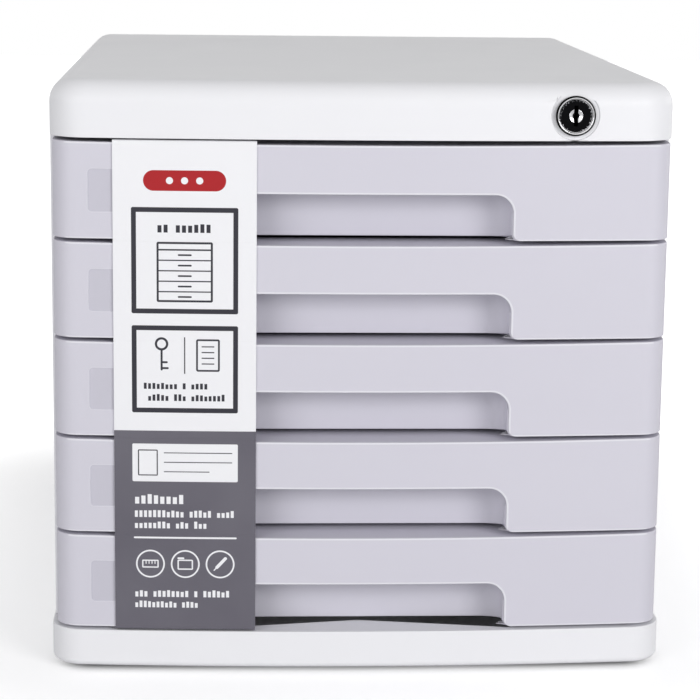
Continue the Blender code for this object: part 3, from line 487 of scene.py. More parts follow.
def ink(finish, x, z):
    """Mask makers for one finish, all in millimetres on the front plane."""
    def patch(x0, z0, x1, z1, round_by=0.0):
        across = (x - (x0 + x1) / 2).size() - ((x1 - x0) / 2 - round_by)
        upward = (z - (z0 + z1) / 2).size() - ((z1 - z0) / 2 - round_by)
        if not round_by:
            return across.most(upward).below(0.0, INK_BLUR)
        outside = across.most(0.0) * across.most(0.0) + upward.most(0.0) * upward.most(0.0)
        return (outside.math("SQRT") + across.most(upward).least(0.0)).below(round_by, INK_BLUR)

    def outline(x0, z0, x1, z1, line, round_by=0.0):
        inner = max(0.0, round_by - line)
        return patch(x0, z0, x1, z1, round_by) - patch(x0 + line, z0 + line, x1 - line, z1 - line, inner)

    def disc(cx, cz, radius):
        across, upward = x - cx, z - cz
        return (across * across + upward * upward).math("SQRT").below(radius, INK_BLUR)

    def stroke(ax, az, bx, bz, line):
        """A round-ended line from a to b."""
        run, rise = bx - ax, bz - az
        along = ((x - ax) * run + (z - az) * rise) / (run * run + rise * rise)
        along = along.most(0.0).least(1.0)
        off_x, off_z = x - ax - along * run, z - az - along * rise
        return (off_x * off_x + off_z * off_z).math("SQRT").below(line / 2, INK_BLUR)

    def words(x0, z0, x1, height, seed):
        """Small bars of uneven height in place of letters, with spaces between the words."""
        cell = height * 0.62
        count = max(1, round((x1 - x0) / cell))
        step = (x - x0) / cell
        bar = (step.math("FRACT") - 0.5).size().below(0.33, INK_BLUR / cell)

        def chance(row):
            place = step.math("FLOOR") + (seed * 17.3 + row)
            return finish.node("ShaderNodeTexWhiteNoise", {"noise_dimensions": "1D"}, {"W": place})

        top = chance(5.7) * (0.34 * height) + (z0 + 0.66 * height)
        kept = chance(0.0).math("GREATER_THAN", 0.15)
        return patch(x0, z0, x0 + count * cell, z0 + height) * bar * kept * (z - top).below(0.0, INK_BLUR)

    return patch, outline, disc, stroke, words


def together(masks):
    total = masks[0]
    for mask in masks[1:]:
        total = total.most(mask)
    return total


# %% [markdown]
# The drawers' plastic carries marks that belong to a front's shape: the label window is a shade darker,
# and painted highlights make the outer edges and the edge of the recess a little lighter. The height
# within a drawer is the remainder after dividing by the pitch, so that one finish fits all five.

# %% Drawer plastic
def window_tint_and_painted_highlights(finish, tint):
    x, y, z = finish.axes()
    pitch = PITCH / MM
    rise = ((z - FLOORS[-1] / MM) / pitch).math("FRACT") * pitch
    face = (y - FRONT_APEX_Y / MM - x * x / (2 * BOW_RADIUS / MM)).below(1.0, 0.3)
    # Painted highlights follow: lighter bands along the top edge, the bottom edge and the edge of the recess.
    top_edge = x * x * 4.509e-5 + 40.7
    top_edge_highlight = 1.0 - (rise - top_edge).below(-0.75, 0.2)
    across, upward = x.size() - 56.1, rise - 11.8
    outside = across.most(0.0) * across.most(0.0) + upward.most(0.0) * upward.most(0.0)
    from_mouth = outside.math("SQRT") + across.most(upward).least(0.0) - 8.0
    mouth_edge_highlight = (from_mouth - 0.3).size().below(0.55, 0.2)
    patch, outline, *_ = ink(finish, x, rise)
    window = patch(-117.4, 11.7, -72.8, 29.8, 1.5)
    window_edge_highlight = outline(-117.9, 11.2, -72.3, 30.3, 0.4, 1.9)
    # Painted highlight: the edge bands and the label window's rim are mixed towards near white.
    light = together([rise.below(0.7, 0.2), top_edge_highlight, mouth_edge_highlight, window_edge_highlight * 0.35]) * face
    tint = finish.mixed(window * face, tint, shade_of(201, 199, 210))
    return finish.mixed(light * 0.6, tint, shade_of(242, 242, 247))


LILAC = moulded_plastic("drawer_lilac_plastic", shade_of(214, 212, 222), shade_of(208, 206, 217), 0.42, 0.20,
                        window_tint_and_painted_highlights)
print("drawer plastic has", len(LILAC.node_tree.nodes), "nodes")

# %% [markdown]
# The print is this cabinet's own: a red pill, one frame round a drawing of the cabinet, one round a key
# and a sheet, and on the grey part a white field to write on, short lines and three round signs. Sizes
# are in millimetres on the finished card.

# %% The printed card
CARD_GREY_TOP = 109.2


def printed_card():
    finish = Finish("printed_card", 0.50, coat=0.10, coat_roughness=0.4, specular=0.35)
    x, _, z = finish.axes()
    patch, outline, disc, stroke, words = ink(finish, x, z)
    board, grey = shade_of(243, 243, 246), shade_of(90, 87, 98)
    dark, white, red = shade_of(44, 43, 52), shade_of(243, 243, 246), shade_of(172, 18, 27)
    fibre = finish.noise(700.0, 4.0, 0.6)
    cloud = finish.noise(22.0, 3.0)

    frames = [outline(-99.2, 160.6, -53.6, 206.4, 2.1, 0.8), outline(-99.2, 117.2, -53.6, 155.4, 2.1, 0.8)]
    cabinet = [outline(-88.4, 165.6, -64.4, 191.6, 0.9, 0.8), stroke(-87.9, 188.2, -64.9, 188.2, 0.7)]
    cabinet += [stroke(-87.9, 165.6 + 4.52 * row, -64.9, 165.6 + 4.52 * row, 0.55) for row in range(1, 5)]
    cabinet += [stroke(-79.0, 167.9 + 4.52 * row, -73.8, 167.9 + 4.52 * row, 0.75) for row in range(5)]
    heading = [words(-88.4, 195.6, -64.4, 4.2, 1), words(-94.4, 122.4, -58.6, 3.0, 2),
               words(-94.4, 127.6, -66.0, 3.0, 3)]
    key = [disc(-86.4, 147.4, 2.9) - disc(-86.4, 147.4, 1.9), stroke(-86.4, 144.6, -86.4, 136.2, 0.9),
           stroke(-86.4, 136.8, -83.8, 136.8, 0.9), stroke(-86.4, 139.4, -84.2, 139.4, 0.9)]
    sheet = [outline(-71.6, 135.4, -61.4, 149.6, 0.8, 0.9), stroke(-76.5, 134.6, -76.5, 150.2, 0.5)]
    sheet += [stroke(-69.0, 138.8 + 2.5 * row, -64.0, 138.8 + 2.5 * row, 0.5) for row in range(4)]
    dark_ink = together([*frames, *cabinet, *heading, *key, *sheet])

    red_ink = patch(-94.0, 213.4, -58.8, 222.2, 4.4)
    dots = [disc(-76.4 + 6.4 * place, 217.8, 1.5) for place in (-1, 0, 1)]

    field = patch(-99.2, 86.6, -53.6, 103.4, 0.6)
    lines = [words(-98.6, 76.6, -76.0, 4.4, 4), words(-98.6, 70.6, -55.0, 3.2, 5),
             words(-98.6, 65.6, -62.0, 3.2, 6), stroke(-98.4, 61.4, -54.4, 61.4, 0.8),
             words(-98.6, 34.6, -56.0, 3.2, 7), words(-98.6, 29.8, -70.0, 3.0, 8)]
    rings = [disc(centre, 49.6, 6.3) - disc(centre, 49.6, 5.6) for centre in (-91.6, -76.4, -61.2)]
    ruler = [outline(-95.2, 47.8, -88.0, 51.4, 0.55, 0.4)]
    ruler += [stroke(-93.5 + 1.3 * mark, 51.0, -93.5 + 1.3 * mark, 49.7, 0.4) for mark in range(4)]
    folder = [outline(-79.8, 47.0, -73.0, 51.6, 0.6, 0.6), stroke(-79.4, 52.2, -77.2, 52.2, 0.8)]
    pencil = [stroke(-62.6, 48.2, -58.9, 52.2, 1.4), stroke(-63.8, 46.9, -63.2, 47.6, 0.5)]
    light_ink = together([*dots, field, *lines, *rings, *ruler, *folder, *pencil])
    field_ink = together([outline(-96.8, 89.2, -88.2, 100.8, 0.5, 0.5), stroke(-85.4, 99.4, -56.2, 99.4, 0.4),
                          stroke(-85.4, 95.2, -56.2, 95.2, 0.4), stroke(-85.4, 91.0, -66.0, 91.0, 0.4)])

    ground = finish.mixed(z.below(CARD_GREY_TOP, 0.05), board, grey)
    tint = finish.mixed(cloud * 0.10, ground, shade_of(226, 226, 232))
    for mask, colour in ((dark_ink, dark), (red_ink, red), (light_ink, white), (field_ink, dark)):
        tint = finish.mixed(mask, tint, colour)
    rough = (fibre - 0.5) * 0.14 + 0.5
    return finish.wire(Base_Color=tint, Roughness=rough, Normal=finish.bump(fibre, 0.10, 0.00004))


CARD = printed_card()
print("card finish has", len(CARD.node_tree.nodes), "nodes")


def wear(piece, finish, slot):
    """Give the piece its finish on every face. The slot argument is not used."""
    piece.data.materials.clear()
    piece.data.materials.append(finish)
    piece.data.polygons.foreach_set("material_index", [0] * len(piece.data.polygons))


def dress(piece, finish, slot, body, node, angle=35.0):
    """Shade and finish a piece, hang it on the body that it rides on, and hide the node that it replaces."""
    shade(piece, angle)
    wear(piece, finish, slot)
    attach(piece, body)
    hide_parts(node)


def five_of(piece, name, node):
    """The top drawer's piece and its copies for the drawers below, each on its own drawer."""
    pieces = [piece] + [copy_of(piece, f"{name}_{n}", (0.0, 0.0, FLOORS[n - 1] - TOP_FLOOR))
                        for n in range(2, 6)]
    for number, each in enumerate(pieces, 1):
        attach(each, f"drawer_{number}")
        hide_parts(f"drawer_{number}_{node}")
    return pieces


# %% [markdown]
# The cover is one moulding: a shallow lid with soft upper edges, a bowed front and a wall of 2.5 mm. By
# hand it is an outline, filled and extruded, whose top rim gets a wide bevel. Then the underside is
# deleted and Solidify grows the wall inwards, which keeps the wall even round the soft edge where a
# second smaller block would break through.

# %% Cover
CAP_Z, TOP_Z = 235.5 * MM, 260.0 * MM
CAP_HALF = 134.6 * MM
CAP_WALL = 2.5 * MM
CAP_EDGE = 10.0 * MM
SPOT_RADIUS, SPOT_DEPTH = 10.4 * MM, 1.0 * MM
SPOT_Y = bow_y(LOCK_X, FRONT_Y) + SPOT_DEPTH
PAD_RADIUS = 9.4 * MM
PAD_Y = bow_y(LOCK_X + PAD_RADIUS, FRONT_Y) + CAP_WALL + 2.5 * MM
SCREWS_XY = [(x, y) for y in (-115.0 * MM, 150.0 * MM) for x in (-124.4 * MM, 124.4 * MM)]


def rod(name, centre, radius, low, high, axis="Z", sides=24):
    """A cylinder primitive between two places on an axis, as a tool for cutting or joining."""
    only(None)
    middle, length = (low + high) / 2, high - low
    place = {"Y": (centre[0], middle, centre[1]), "Z": (centre[0], centre[1], middle)}[axis]
    turn = {"Y": (math.pi / 2, 0.0, 0.0), "Z": (0.0, 0.0, 0.0)}[axis]
    bpy.ops.mesh.primitive_cylinder_add(vertices=sides, radius=radius, depth=length, location=place,
                                        rotation=turn)
    tool = bpy.context.object
    tool.name = name
    bpy.ops.object.transform_apply(location=True, rotation=True, scale=True)
    return tool


cover = plan("cover", CAP_HALF, FRONT_Y, BACK_Y, 18 * MM, CAP_Z, rear_corner=11 * MM,
             steps=(26, 12)).raised(z=TOP_Z - CAP_Z)
pick("EDGE", lambda place, along: place.z > TOP_Z - 1e-5)
round_off(CAP_EDGE, 10)
pick("FACE", lambda place, normal: normal.z < -0.9)
bpy.ops.mesh.delete(type="FACE")
finish_with(cover, "SOLIDIFY", thickness=CAP_WALL, offset=-1.0, use_even_offset=True)
for place in SCREWS_XY:
    combine(cover, "UNION", rod("boss", place, 4 * MM, CAP_Z, TOP_Z - CAP_WALL / 2))
    combine(cover, "DIFFERENCE", rod("pilot", place, 1.8 * MM, CAP_Z - MM, CAP_Z + 12 * MM, sides=12))
lock_axis = (LOCK_X, LOCK_Z)
pad_root = bow_y(LOCK_X, FRONT_Y) + CAP_WALL * 0.75
combine(cover, "UNION", rod("pad", lock_axis, PAD_RADIUS, pad_root, PAD_Y, "Y", 64))
combine(cover, "DIFFERENCE", rod("spot", lock_axis, SPOT_RADIUS, FRONT_Y - MM, SPOT_Y, "Y", 64),
        rod("hole", lock_axis, 7.5 * MM, FRONT_Y - MM, PAD_Y + MM, "Y", 64))
ease_edges(cover, 0.35 * MM, 2, 50.0)
dress(cover, WHITE, "white_plastic", "cabinet", "top_cover")
print("cover", len(cover.data.polygons), "faces", [round(v / MM, 1) for v in cover.dimensions])

# %% [markdown]
# The base is the same kind of outline, turned the other way: a soft lower edge and a flat deck that
# carries the side panels. Insetting its underside and pushing that face up makes the wall and the deck
# in two steps, with a boss for each foot and screw. A window in the deck leaves a ledge in front that is
# deepest in the middle, and it is this ledge that catches the light below the lowest drawer.

# %% Base
BASE_Z, DECK_Z = 2.3 * MM, 19.0 * MM
BASE_WALL, BASE_DECK = 4.0 * MM, 2.5 * MM
FEET_XY = [(x, y) for y in (-150.0 * MM, 150.0 * MM) for x in (-112.0 * MM, 112.0 * MM)]
LEDGE_Y, WINDOW_REAR_Y, WINDOW_END = FRONT_Y + 17.7 * MM, FRONT_Y + 40.0 * MM, 68.1 * MM

plinth = plan("plinth", 135.5 * MM, FRONT_Y, BACK_Y, 15 * MM, BASE_Z, rear_corner=9 * MM,
              steps=(26, 12)).raised(z=DECK_Z - BASE_Z)
pick("EDGE", lambda place, along: place.z < BASE_Z + 1e-5)
round_off(2.8 * MM, 7)
pick("FACE", lambda place, normal: normal.z < -0.99 and place.z < BASE_Z + 1e-5)
bpy.ops.mesh.inset(thickness=BASE_WALL - 2.8 * MM)
push(z=DECK_Z - BASE_DECK - BASE_Z)
for place in FEET_XY:
    combine(plinth, "UNION", rod("boss", place, 4.8 * MM, BASE_Z, DECK_Z - BASE_DECK / 2))
    combine(plinth, "DIFFERENCE", rod("peg_hole", place, 3.3 * MM, BASE_Z - MM, BASE_Z + 5 * MM))
for place in SCREWS_XY:
    low = DECK_Z - BASE_DECK - 6 * MM
    combine(plinth, "UNION", rod("boss", place, 4 * MM, low, DECK_Z - BASE_DECK / 2))
    combine(plinth, "DIFFERENCE", rod("screw_hole", place, 1.8 * MM, low - MM, DECK_Z + MM))
window_side_y = bow_y(WINDOW_END, FRONT_Y) + BASE_WALL + 0.3 * MM
pen = Pen("deck_window", (0.0, LEDGE_Y, DECK_Z - 2 * BASE_DECK))
pen.line(x=WINDOW_END, y=window_side_y - LEDGE_Y)
pen.line(y=WINDOW_REAR_Y - window_side_y)
pen.line(x=-2 * WINDOW_END)
pen.line(y=window_side_y - WINDOW_REAR_Y)
combine(plinth, "DIFFERENCE", pen.raised(z=3 * BASE_DECK))
ease_edges(plinth, 0.45 * MM, 3, 50.0)
dress(plinth, WHITE, "white_plastic", "cabinet", "base")
print("plinth", len(plinth.data.polygons), "faces", [round(v / MM, 1) for v in plinth.dimensions])

# %% [markdown]
# A drawer front is a hollow bowed moulding, 41.5 mm high. Its top edge dips 0.8 mm at the middle. The
# block is sliced by bisecting at even steps, and each slice's top is moved down a little, which gives a
# fair curve. The finger recess is a second, smaller shell joined in behind, then opened through the
# front and below. One front is modelled and the other four are copies.

# %% The block of a drawer front
CROWN = 0.8 * MM
FRONT_CORNER = 11 * MM
FOOT_FLARE = 3.0 * MM
STATIONS = [FRONT_HALF * share / 12 for share in range(-11, 12)]

front = plan("drawer_front_1", FRONT_HALF, FRONT_APEX_Y, FRONT_REAR_Y, FRONT_CORNER, TOP_FLOOR,
             steps=(24, 10)).raised(z=FRONT_HEIGHT)
for x in STATIONS:
    slice_at((x, 0.0, 0.0), (1.0, 0.0, 0.0), 1e-5)
top_edge = TOP_FLOOR + FRONT_HEIGHT
rows = dict.fromkeys(round(abs(vertex.co.x), 5) for vertex in bmesh.from_edit_mesh(front.data).verts
                     if vertex.co.z > top_edge - 1e-5)
for row in rows:
    pick("VERT", lambda place, normal: place.z > top_edge - 1e-6 and abs(abs(place.x) - row) < 1e-5)
    bpy.ops.transform.translate(value=(0.0, 0.0, -CROWN * (1 - min(1.0, row / FRONT_HALF) ** 2) - 2e-6))
print("front block", len(front.data.vertices), "vertices,", len(rows), "rows along the top")

# %% [markdown]
# The recess is 17 mm deep behind a lip of 2.5 mm, round at its two back corners, and 5 mm higher inside
# than its mouth, which gives the fingers something to pull. The mouth's upper corners are round with a
# radius of 8 mm, and its feet flare out with a small one.

# %% Tools for the recess
RECESS_HALF = 64.1 * MM
RECESS_HEIGHT = 19.8 * MM
RECESS_BACK = FRONT_APEX_Y + 17 * MM
FLARE_END = RECESS_BACK - 0.4 * MM


def pocket(name, half, lip, back, corner, low, high):
    """A block that follows the bow in front and is round at its back corners."""
    radius = BOW_RADIUS - lip
    middle_y = FRONT_APEX_Y + BOW_RADIUS
    reach = math.degrees(math.asin(half / radius))
    y = middle_y - radius * math.cos(math.radians(reach))
    pen = Pen(name, (-half, y, low))
    pen.arc((0.0, middle_y, low), 2 * reach, 12)
    pen.line(y=back - corner - y)
    pen.arc((half - corner, back - corner, low), 90, 10)
    pen.line(x=2 * (corner - half))
    pen.arc((corner - half, back - corner, low), 90, 10)
    return pen.raised(z=high - low)


def mouth(floor_z):
    """The opening in the face, drawn from the front."""
    y, half, foot, top_corner = FRONT_Y - MM, RECESS_HALF, FOOT_FLARE, 8 * MM
    pen = Pen("mouth", (half + foot, y, floor_z - MM), FRONTAL)
    pen.line(z=MM)
    pen.arc((half + foot, y, floor_z + foot), -90, 5)
    pen.line(z=RECESS_HEIGHT - foot - top_corner)
    pen.arc((half - top_corner, y, floor_z + RECESS_HEIGHT - top_corner), 90, 10)
    pen.line(x=2 * (top_corner - half))
    pen.arc((top_corner - half, y, floor_z + RECESS_HEIGHT - top_corner), 90, 10)
    pen.line(z=foot + top_corner - RECESS_HEIGHT)
    pen.arc((-half - foot, y, floor_z + foot), -90, 5)
    pen.line(z=-MM)
    return pen.raised(y=bow_y(half) + FRONT_WALL + 0.3 * MM - y)


def flare(side):
    """A wedge that lets the mouth's flared foot run out to nothing along the end of the recess."""
    y, outer = FRONT_Y - MM, side * (RECESS_HALF + FOOT_FLARE)
    pen = Pen("flare", (outer, y, TOP_FLOOR - MM), FRONTAL)
    pen.line(z=MM)
    pen.arc((outer, y, TOP_FLOOR + FOOT_FLARE), -90 * side, 5)
    pen.line(x=-side * 14 * MM)
    pen.line(z=-FOOT_FLARE - MM)
    wedge = pen.raised(y=FLARE_END - y)
    pick("VERT", lambda place, normal: place.y > FLARE_END - 1e-5 and place.z > TOP_FLOOR + 1e-5)
    bpy.ops.transform.resize(value=(1.0, 1.0, 0.02), center_override=(0.0, 0.0, TOP_FLOOR))
    return wedge


only(None)
hollow = plan("hollow", FRONT_HALF - FRONT_WALL, FRONT_APEX_Y + FRONT_WALL, FRONT_REAR_Y + MM,
              FRONT_CORNER - FRONT_WALL, TOP_FLOOR + FRONT_WALL, radius=BOW_RADIUS - FRONT_WALL)
hollow = hollow.raised(z=FRONT_HEIGHT - CROWN - 2 * FRONT_WALL)
combine(front, "DIFFERENCE", hollow)
roof = TOP_FLOOR + RECESS_HEIGHT + 5 * MM
shell = pocket("shell", RECESS_HALF + 3 * MM, FRONT_WALL / 2, RECESS_BACK + FRONT_WALL, 12 * MM,
               TOP_FLOOR + FRONT_WALL / 2, roof + FRONT_WALL)
SCREW_X, SCREW_RISE = 92.0 * MM, 20.0 * MM
bosses = [rod("boss", (side * SCREW_X, TOP_FLOOR + SCREW_RISE), 4 * MM,
              bow_y(SCREW_X) + FRONT_WALL / 2, FRONT_REAR_Y, "Y") for side in (-1, 1)]
combine(front, "UNION", shell, *bosses)
void = pocket("void", RECESS_HALF, FRONT_WALL, RECESS_BACK, 9 * MM, TOP_FLOOR - MM, roof)
holes = [rod("hole", (side * SCREW_X, TOP_FLOOR + SCREW_RISE), 1.8 * MM, -162.5 * MM,
             FRONT_REAR_Y + MM, "Y", 12) for side in (-1, 1)]
combine(front, "DIFFERENCE", void, mouth(TOP_FLOOR), flare(-1), flare(1), *holes)
ease_edges(front, 0.45 * MM, 3, 42.0)
print("front with its recess", len(front.data.polygons), "faces")

# %% [markdown]
# A shallow window for a name label is let into the left of each front. Its floor follows the bow, so its
# cutting tool is a short upright line, spun about the bow's axis and pushed forward. The four corners
# are rounded before it cuts.

# %% Label window
LABEL_LEFT, LABEL_WIDTH, LABEL_HEIGHT, LABEL_DEPTH = -117.6 * MM, 45 * MM, 18.4 * MM, 0.35 * MM


def bow_sheet(name, left, width, low, high, inset, steps):
    """An upright line spun about the axis of the bow: a sheet parallel to the front's face."""
    radius = BOW_RADIUS - inset
    middle_y = FRONT_APEX_Y + BOW_RADIUS
    turn = math.degrees(math.asin((left + width) / radius) - math.asin(left / radius))
    pen = Pen(name, (left, middle_y - math.sqrt(radius**2 - left**2), low))
    pen.line(z=high - low)
    bpy.ops.mesh.select_all(action="SELECT")
    pen.arc((0.0, middle_y, 0.0), turn, steps)
    return pen.piece


label_low = TOP_FLOOR + (FRONT_HEIGHT - LABEL_HEIGHT) / 2
window = bow_sheet("window", LABEL_LEFT, LABEL_WIDTH, label_low, label_low + LABEL_HEIGHT, LABEL_DEPTH, 8)
bpy.ops.mesh.select_all(action="SELECT")
push(y=-2 * MM)
face_outwards()
ends = (LABEL_LEFT, LABEL_LEFT + LABEL_WIDTH)
pick("EDGE", lambda place, along: abs(along.y) > MM and min(abs(place.x - end) for end in ends) < 1e-4
     and min(abs(place.z - label_low), abs(place.z - label_low - LABEL_HEIGHT)) < 1e-5)
round_off(1.6 * MM, 5)
combine(front, "DIFFERENCE", window)
shade(front, 38.0)
wear(front, LILAC, "lilac_plastic")
fronts = five_of(front, "drawer_front", "front")
print("fronts", [piece.name for piece in fronts], len(front.data.polygons), "faces each")

# %% [markdown]
# Each tray is an open box for A4 paper. Cutting the block with a few bisects first gives the faces that
# are then pushed out into the runners, the rear lugs and the tab for the lock. The inside is an inset of
# the top that is pushed down.

# %% Trays
TRAY_HALF = 119.5 * MM
TRAY_FRONT, TRAY_BACK = -152.5 * MM, 160.0 * MM
TAB_Y = -146.6 * MM
tray_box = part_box("drawer_1_tray")
print("tray box in mm", [[round(v / MM, 1) for v in corner] for corner in tray_box])

tray = block("drawer_tray_1", (-TRAY_HALF, TRAY_FRONT, TOP_FLOOR + 3 * MM),
             (TRAY_HALF, TRAY_BACK, TOP_FLOOR + 38 * MM))
pick("EDGE", lambda place, along: abs(along.z) > MM)
round_off(3 * MM, 5)
runner_low, runner_high = TOP_FLOOR + 30 * MM, TOP_FLOOR + 32 * MM
for z in (TOP_FLOOR + 22 * MM, runner_low, runner_high):
    slice_at((0.0, 0.0, z), (0.0, 0.0, 1.0))
for y in (TAB_Y, TAB_Y + 3 * MM, TRAY_BACK - 12 * MM):
    slice_at((0.0, y, 0.0), (0.0, 1.0, 0.0))
for side in (-1.0, 1.0):
    pick("FACE", lambda place, normal: normal.x * side > 0.9 and runner_low < place.z < runner_high)
    push(x=side * 7 * MM)
    pick("FACE", lambda place, normal: normal.x * side > 0.9 and runner_low < place.z < runner_high
         and place.y > TRAY_BACK - 12 * MM and abs(place.x) > TRAY_HALF + 6 * MM)
    push(x=side * 4.5 * MM)
pick("FACE", lambda place, normal: normal.x > 0.9 and TOP_FLOOR + 22 * MM < place.z < runner_low
     and TAB_Y < place.y < TAB_Y + 3 * MM)
push(x=7 * MM)
pick("FACE", lambda place, normal: normal.z > 0.9 and place.z > TOP_FLOOR + 37.9 * MM)
bpy.ops.mesh.inset(thickness=2 * MM)
push(z=-33 * MM)
face_outwards()
ease_edges(tray, 0.5 * MM, 3, 50.0)
shade(tray)
wear(tray, LILAC, "lilac_plastic")
trays = five_of(tray, "drawer_tray", "tray")
print("trays", len(trays), len(tray.data.polygons), "faces each")

# %% [markdown]
# The card band is folded board, 0.4 mm thick, worn over the fronts. It is cut between the drawers, so
# that each drawer keeps its own strip. A strip starts as its side view, a line with a round fold where
# it turns back over the top front or under the bottom one, and is spun about the bow's axis.

# %% Card strips
CARD_LEFT, CARD_WIDTH, CARD_WALL = -107.0 * MM, 61.2 * MM, 0.4 * MM
CARD_GAP, CUT = 0.3 * MM, 0.01 * MM
FOLD = 0.9 * MM
FLAP = 7.5 * MM


def card_strip(number):
    """The outer face of one strip, spun along the bow and thickened inwards."""
    floor_z = FLOORS[number - 1]
    middle_y = FRONT_APEX_Y + BOW_RADIUS
    radius = BOW_RADIUS + CARD_GAP + CARD_WALL
    low, high = floor_z - 0.75 * MM + CUT, floor_z + FRONT_HEIGHT + 0.75 * MM - CUT
    y = middle_y - math.sqrt(radius**2 - CARD_LEFT**2)
    over, under = number == 1, number == 5
    if over:
        high = floor_z + FRONT_HEIGHT + 0.8 * MM
    if under:
        low = floor_z - 0.8 * MM
    start_z = low + FOLD if under else low
    end_z = high - FOLD if over else high
    if under:
        pen = Pen(f"card_strip_{number}", (CARD_LEFT, y + FOLD + FLAP, low), RIGHT)
        pen.line(y=-FLAP)
        pen.arc((CARD_LEFT, y + FOLD, start_z), -90, 6)
    else:
        pen = Pen(f"card_strip_{number}", (CARD_LEFT, y, low), RIGHT)
    pen.line(z=end_z - start_z)
    if over:
        pen.arc((CARD_LEFT, y + FOLD, end_z), -90, 6)
        pen.line(y=FLAP)
    bpy.ops.mesh.select_all(action="SELECT")
    turn = math.degrees(math.asin((CARD_LEFT + CARD_WIDTH) / radius) - math.asin(CARD_LEFT / radius))
    bpy.ops.mesh.spin(steps=16, angle=math.radians(turn), center=(0.0, middle_y, 0.0), axis=UP)
    strip = pen.piece
    bpy.ops.mesh.select_all(action="SELECT")
    bpy.ops.mesh.normals_make_consistent(inside=False)
    if sum(face.normal.y for face in bmesh.from_edit_mesh(strip.data).faces) > 0:
        bpy.ops.mesh.flip_normals()
    finish_with(strip, "SOLIDIFY", thickness=CARD_WALL, offset=-1.0, use_even_offset=True)
    dress(strip, CARD, "card", f"drawer_{number}", f"drawer_{number}_card")
    return strip


strips = [card_strip(number) for number in range(1, 6)]
print("card strips", [round(strip.dimensions.z / MM, 2) for strip in strips])

# %% [markdown]
# The lock is turned work: a chromed ring on a barrel, and a black key plug inside it. Each is a profile
# drawn beside the axis and spun all the way round. The keyway is cut afterwards, and a small chromed
# cone on each side of it catches the light.

# %% Lock housing and key plug
RING_Y = SPOT_Y - 0.3 * MM - 1.9 * MM
BARREL_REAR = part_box("lock_housing")[1].y
AXIS_Y = (0.0, 1.0, 0.0)
LOCK_CENTRE = (LOCK_X, 0.0, LOCK_Z)

pen = Pen("lock_ring", (LOCK_X + 7.2 * MM, RING_Y + 0.35 * MM, LOCK_Z))
pen.line(x=0.25 * MM, y=-0.35 * MM)
pen.line(x=0.35 * MM)
pen.arc((LOCK_X + 7.8 * MM, RING_Y + 0.8 * MM, LOCK_Z), 90, 6)
pen.line(y=1.1 * MM)
pen.line(x=-1.4 * MM)
pen.line(y=BARREL_REAR - RING_Y - 1.9 * MM)
pen.line(x=-1.4 * MM)
pen.line(y=RING_Y + 1.3 * MM - BARREL_REAR)
pen.line(x=1.4 * MM)
pen.line(y=-0.95 * MM)
lock_ring = pen.turned(LOCK_CENTRE, AXIS_Y, 72)
ease_edges(lock_ring, 0.08 * MM, 2, 40.0)
dress(lock_ring, CHROME, "chrome", "cabinet", "lock_housing")

# %% Key plug
PLUG_Y = RING_Y + 0.2 * MM
plug_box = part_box("lock_plug")
STUB_REAR = plug_box[1].y
BODY_REAR = STUB_REAR - 2.4 * MM - 0.3 * MM

pen = Pen("key_plug", (LOCK_X, PLUG_Y + 0.8 * MM, LOCK_Z))
pen.line(x=1.4 * MM)
pen.line(x=1.3 * MM, y=-0.65 * MM)
pen.line(x=0.3 * MM, y=-0.15 * MM)
pen.line(x=3.55 * MM)
pen.line(x=0.35 * MM, y=0.3 * MM)
pen.line(y=0.5 * MM)
pen.line(x=-1.4 * MM)
pen.line(y=BODY_REAR - PLUG_Y - 0.8 * MM)
pen.line(x=-5.5 * MM)
key_plug = pen.turned(LOCK_CENTRE, AXIS_Y, 72)
stub = block("stub", (LOCK_X - 2.5 * MM, BODY_REAR - MM, LOCK_Z - 2.5 * MM),
             (LOCK_X + 2.5 * MM, STUB_REAR, LOCK_Z + 2.5 * MM))
combine(key_plug, "UNION", stub)
keyway = block("keyway", (LOCK_X - 0.875 * MM, PLUG_Y - MM, LOCK_Z - 4.4 * MM),
               (LOCK_X + 0.875 * MM, PLUG_Y + 9 * MM, LOCK_Z + 4.4 * MM))
pick("EDGE", lambda place, along: abs(along.y) > MM)
round_off(0.4 * MM, 3)
combine(key_plug, "DIFFERENCE", keyway)
ease_edges(key_plug, 0.07 * MM, 2, 40.0)
dress(key_plug, LOCK_BLACK, "lock_face", "key_plug", "lock_plug")

# %% Key plug face
pen = Pen("key_plug_bezel", (LOCK_X + 1.55 * MM, PLUG_Y + 0.62 * MM, LOCK_Z))
pen.line(x=1.05 * MM, y=-0.55 * MM)
pen.line(x=0.3 * MM, y=-0.05 * MM)
pen.line(x=0.1 * MM, y=0.08 * MM)
pen.line(x=-1.45 * MM, y=0.75 * MM)
bezel = pen.turned(LOCK_CENTRE, AXIS_Y, 48)
slot_tool = block("slot_tool", (LOCK_X - 0.95 * MM, PLUG_Y - MM, LOCK_Z - 4.4 * MM),
                  (LOCK_X + 0.95 * MM, PLUG_Y + 3 * MM, LOCK_Z + 4.4 * MM))
combine(bezel, "DIFFERENCE", slot_tool)
ease_edges(bezel, 0.04 * MM, 2, 40.0)
shade(bezel)
wear(bezel, CHROME, "chrome")
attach(bezel, "key_plug")
print("lock", len(lock_ring.data.polygons), len(key_plug.data.polygons), "faces")

# %% [markdown]
# The pieces that only show when the cabinet is open or turned over keep their CAD shape: panels, cam,
# bar, pins and nut. Real edges are never razor sharp, so each gets a copy whose loose triangles are
# merged and whose edges are eased. The original node stays untouched behind it.

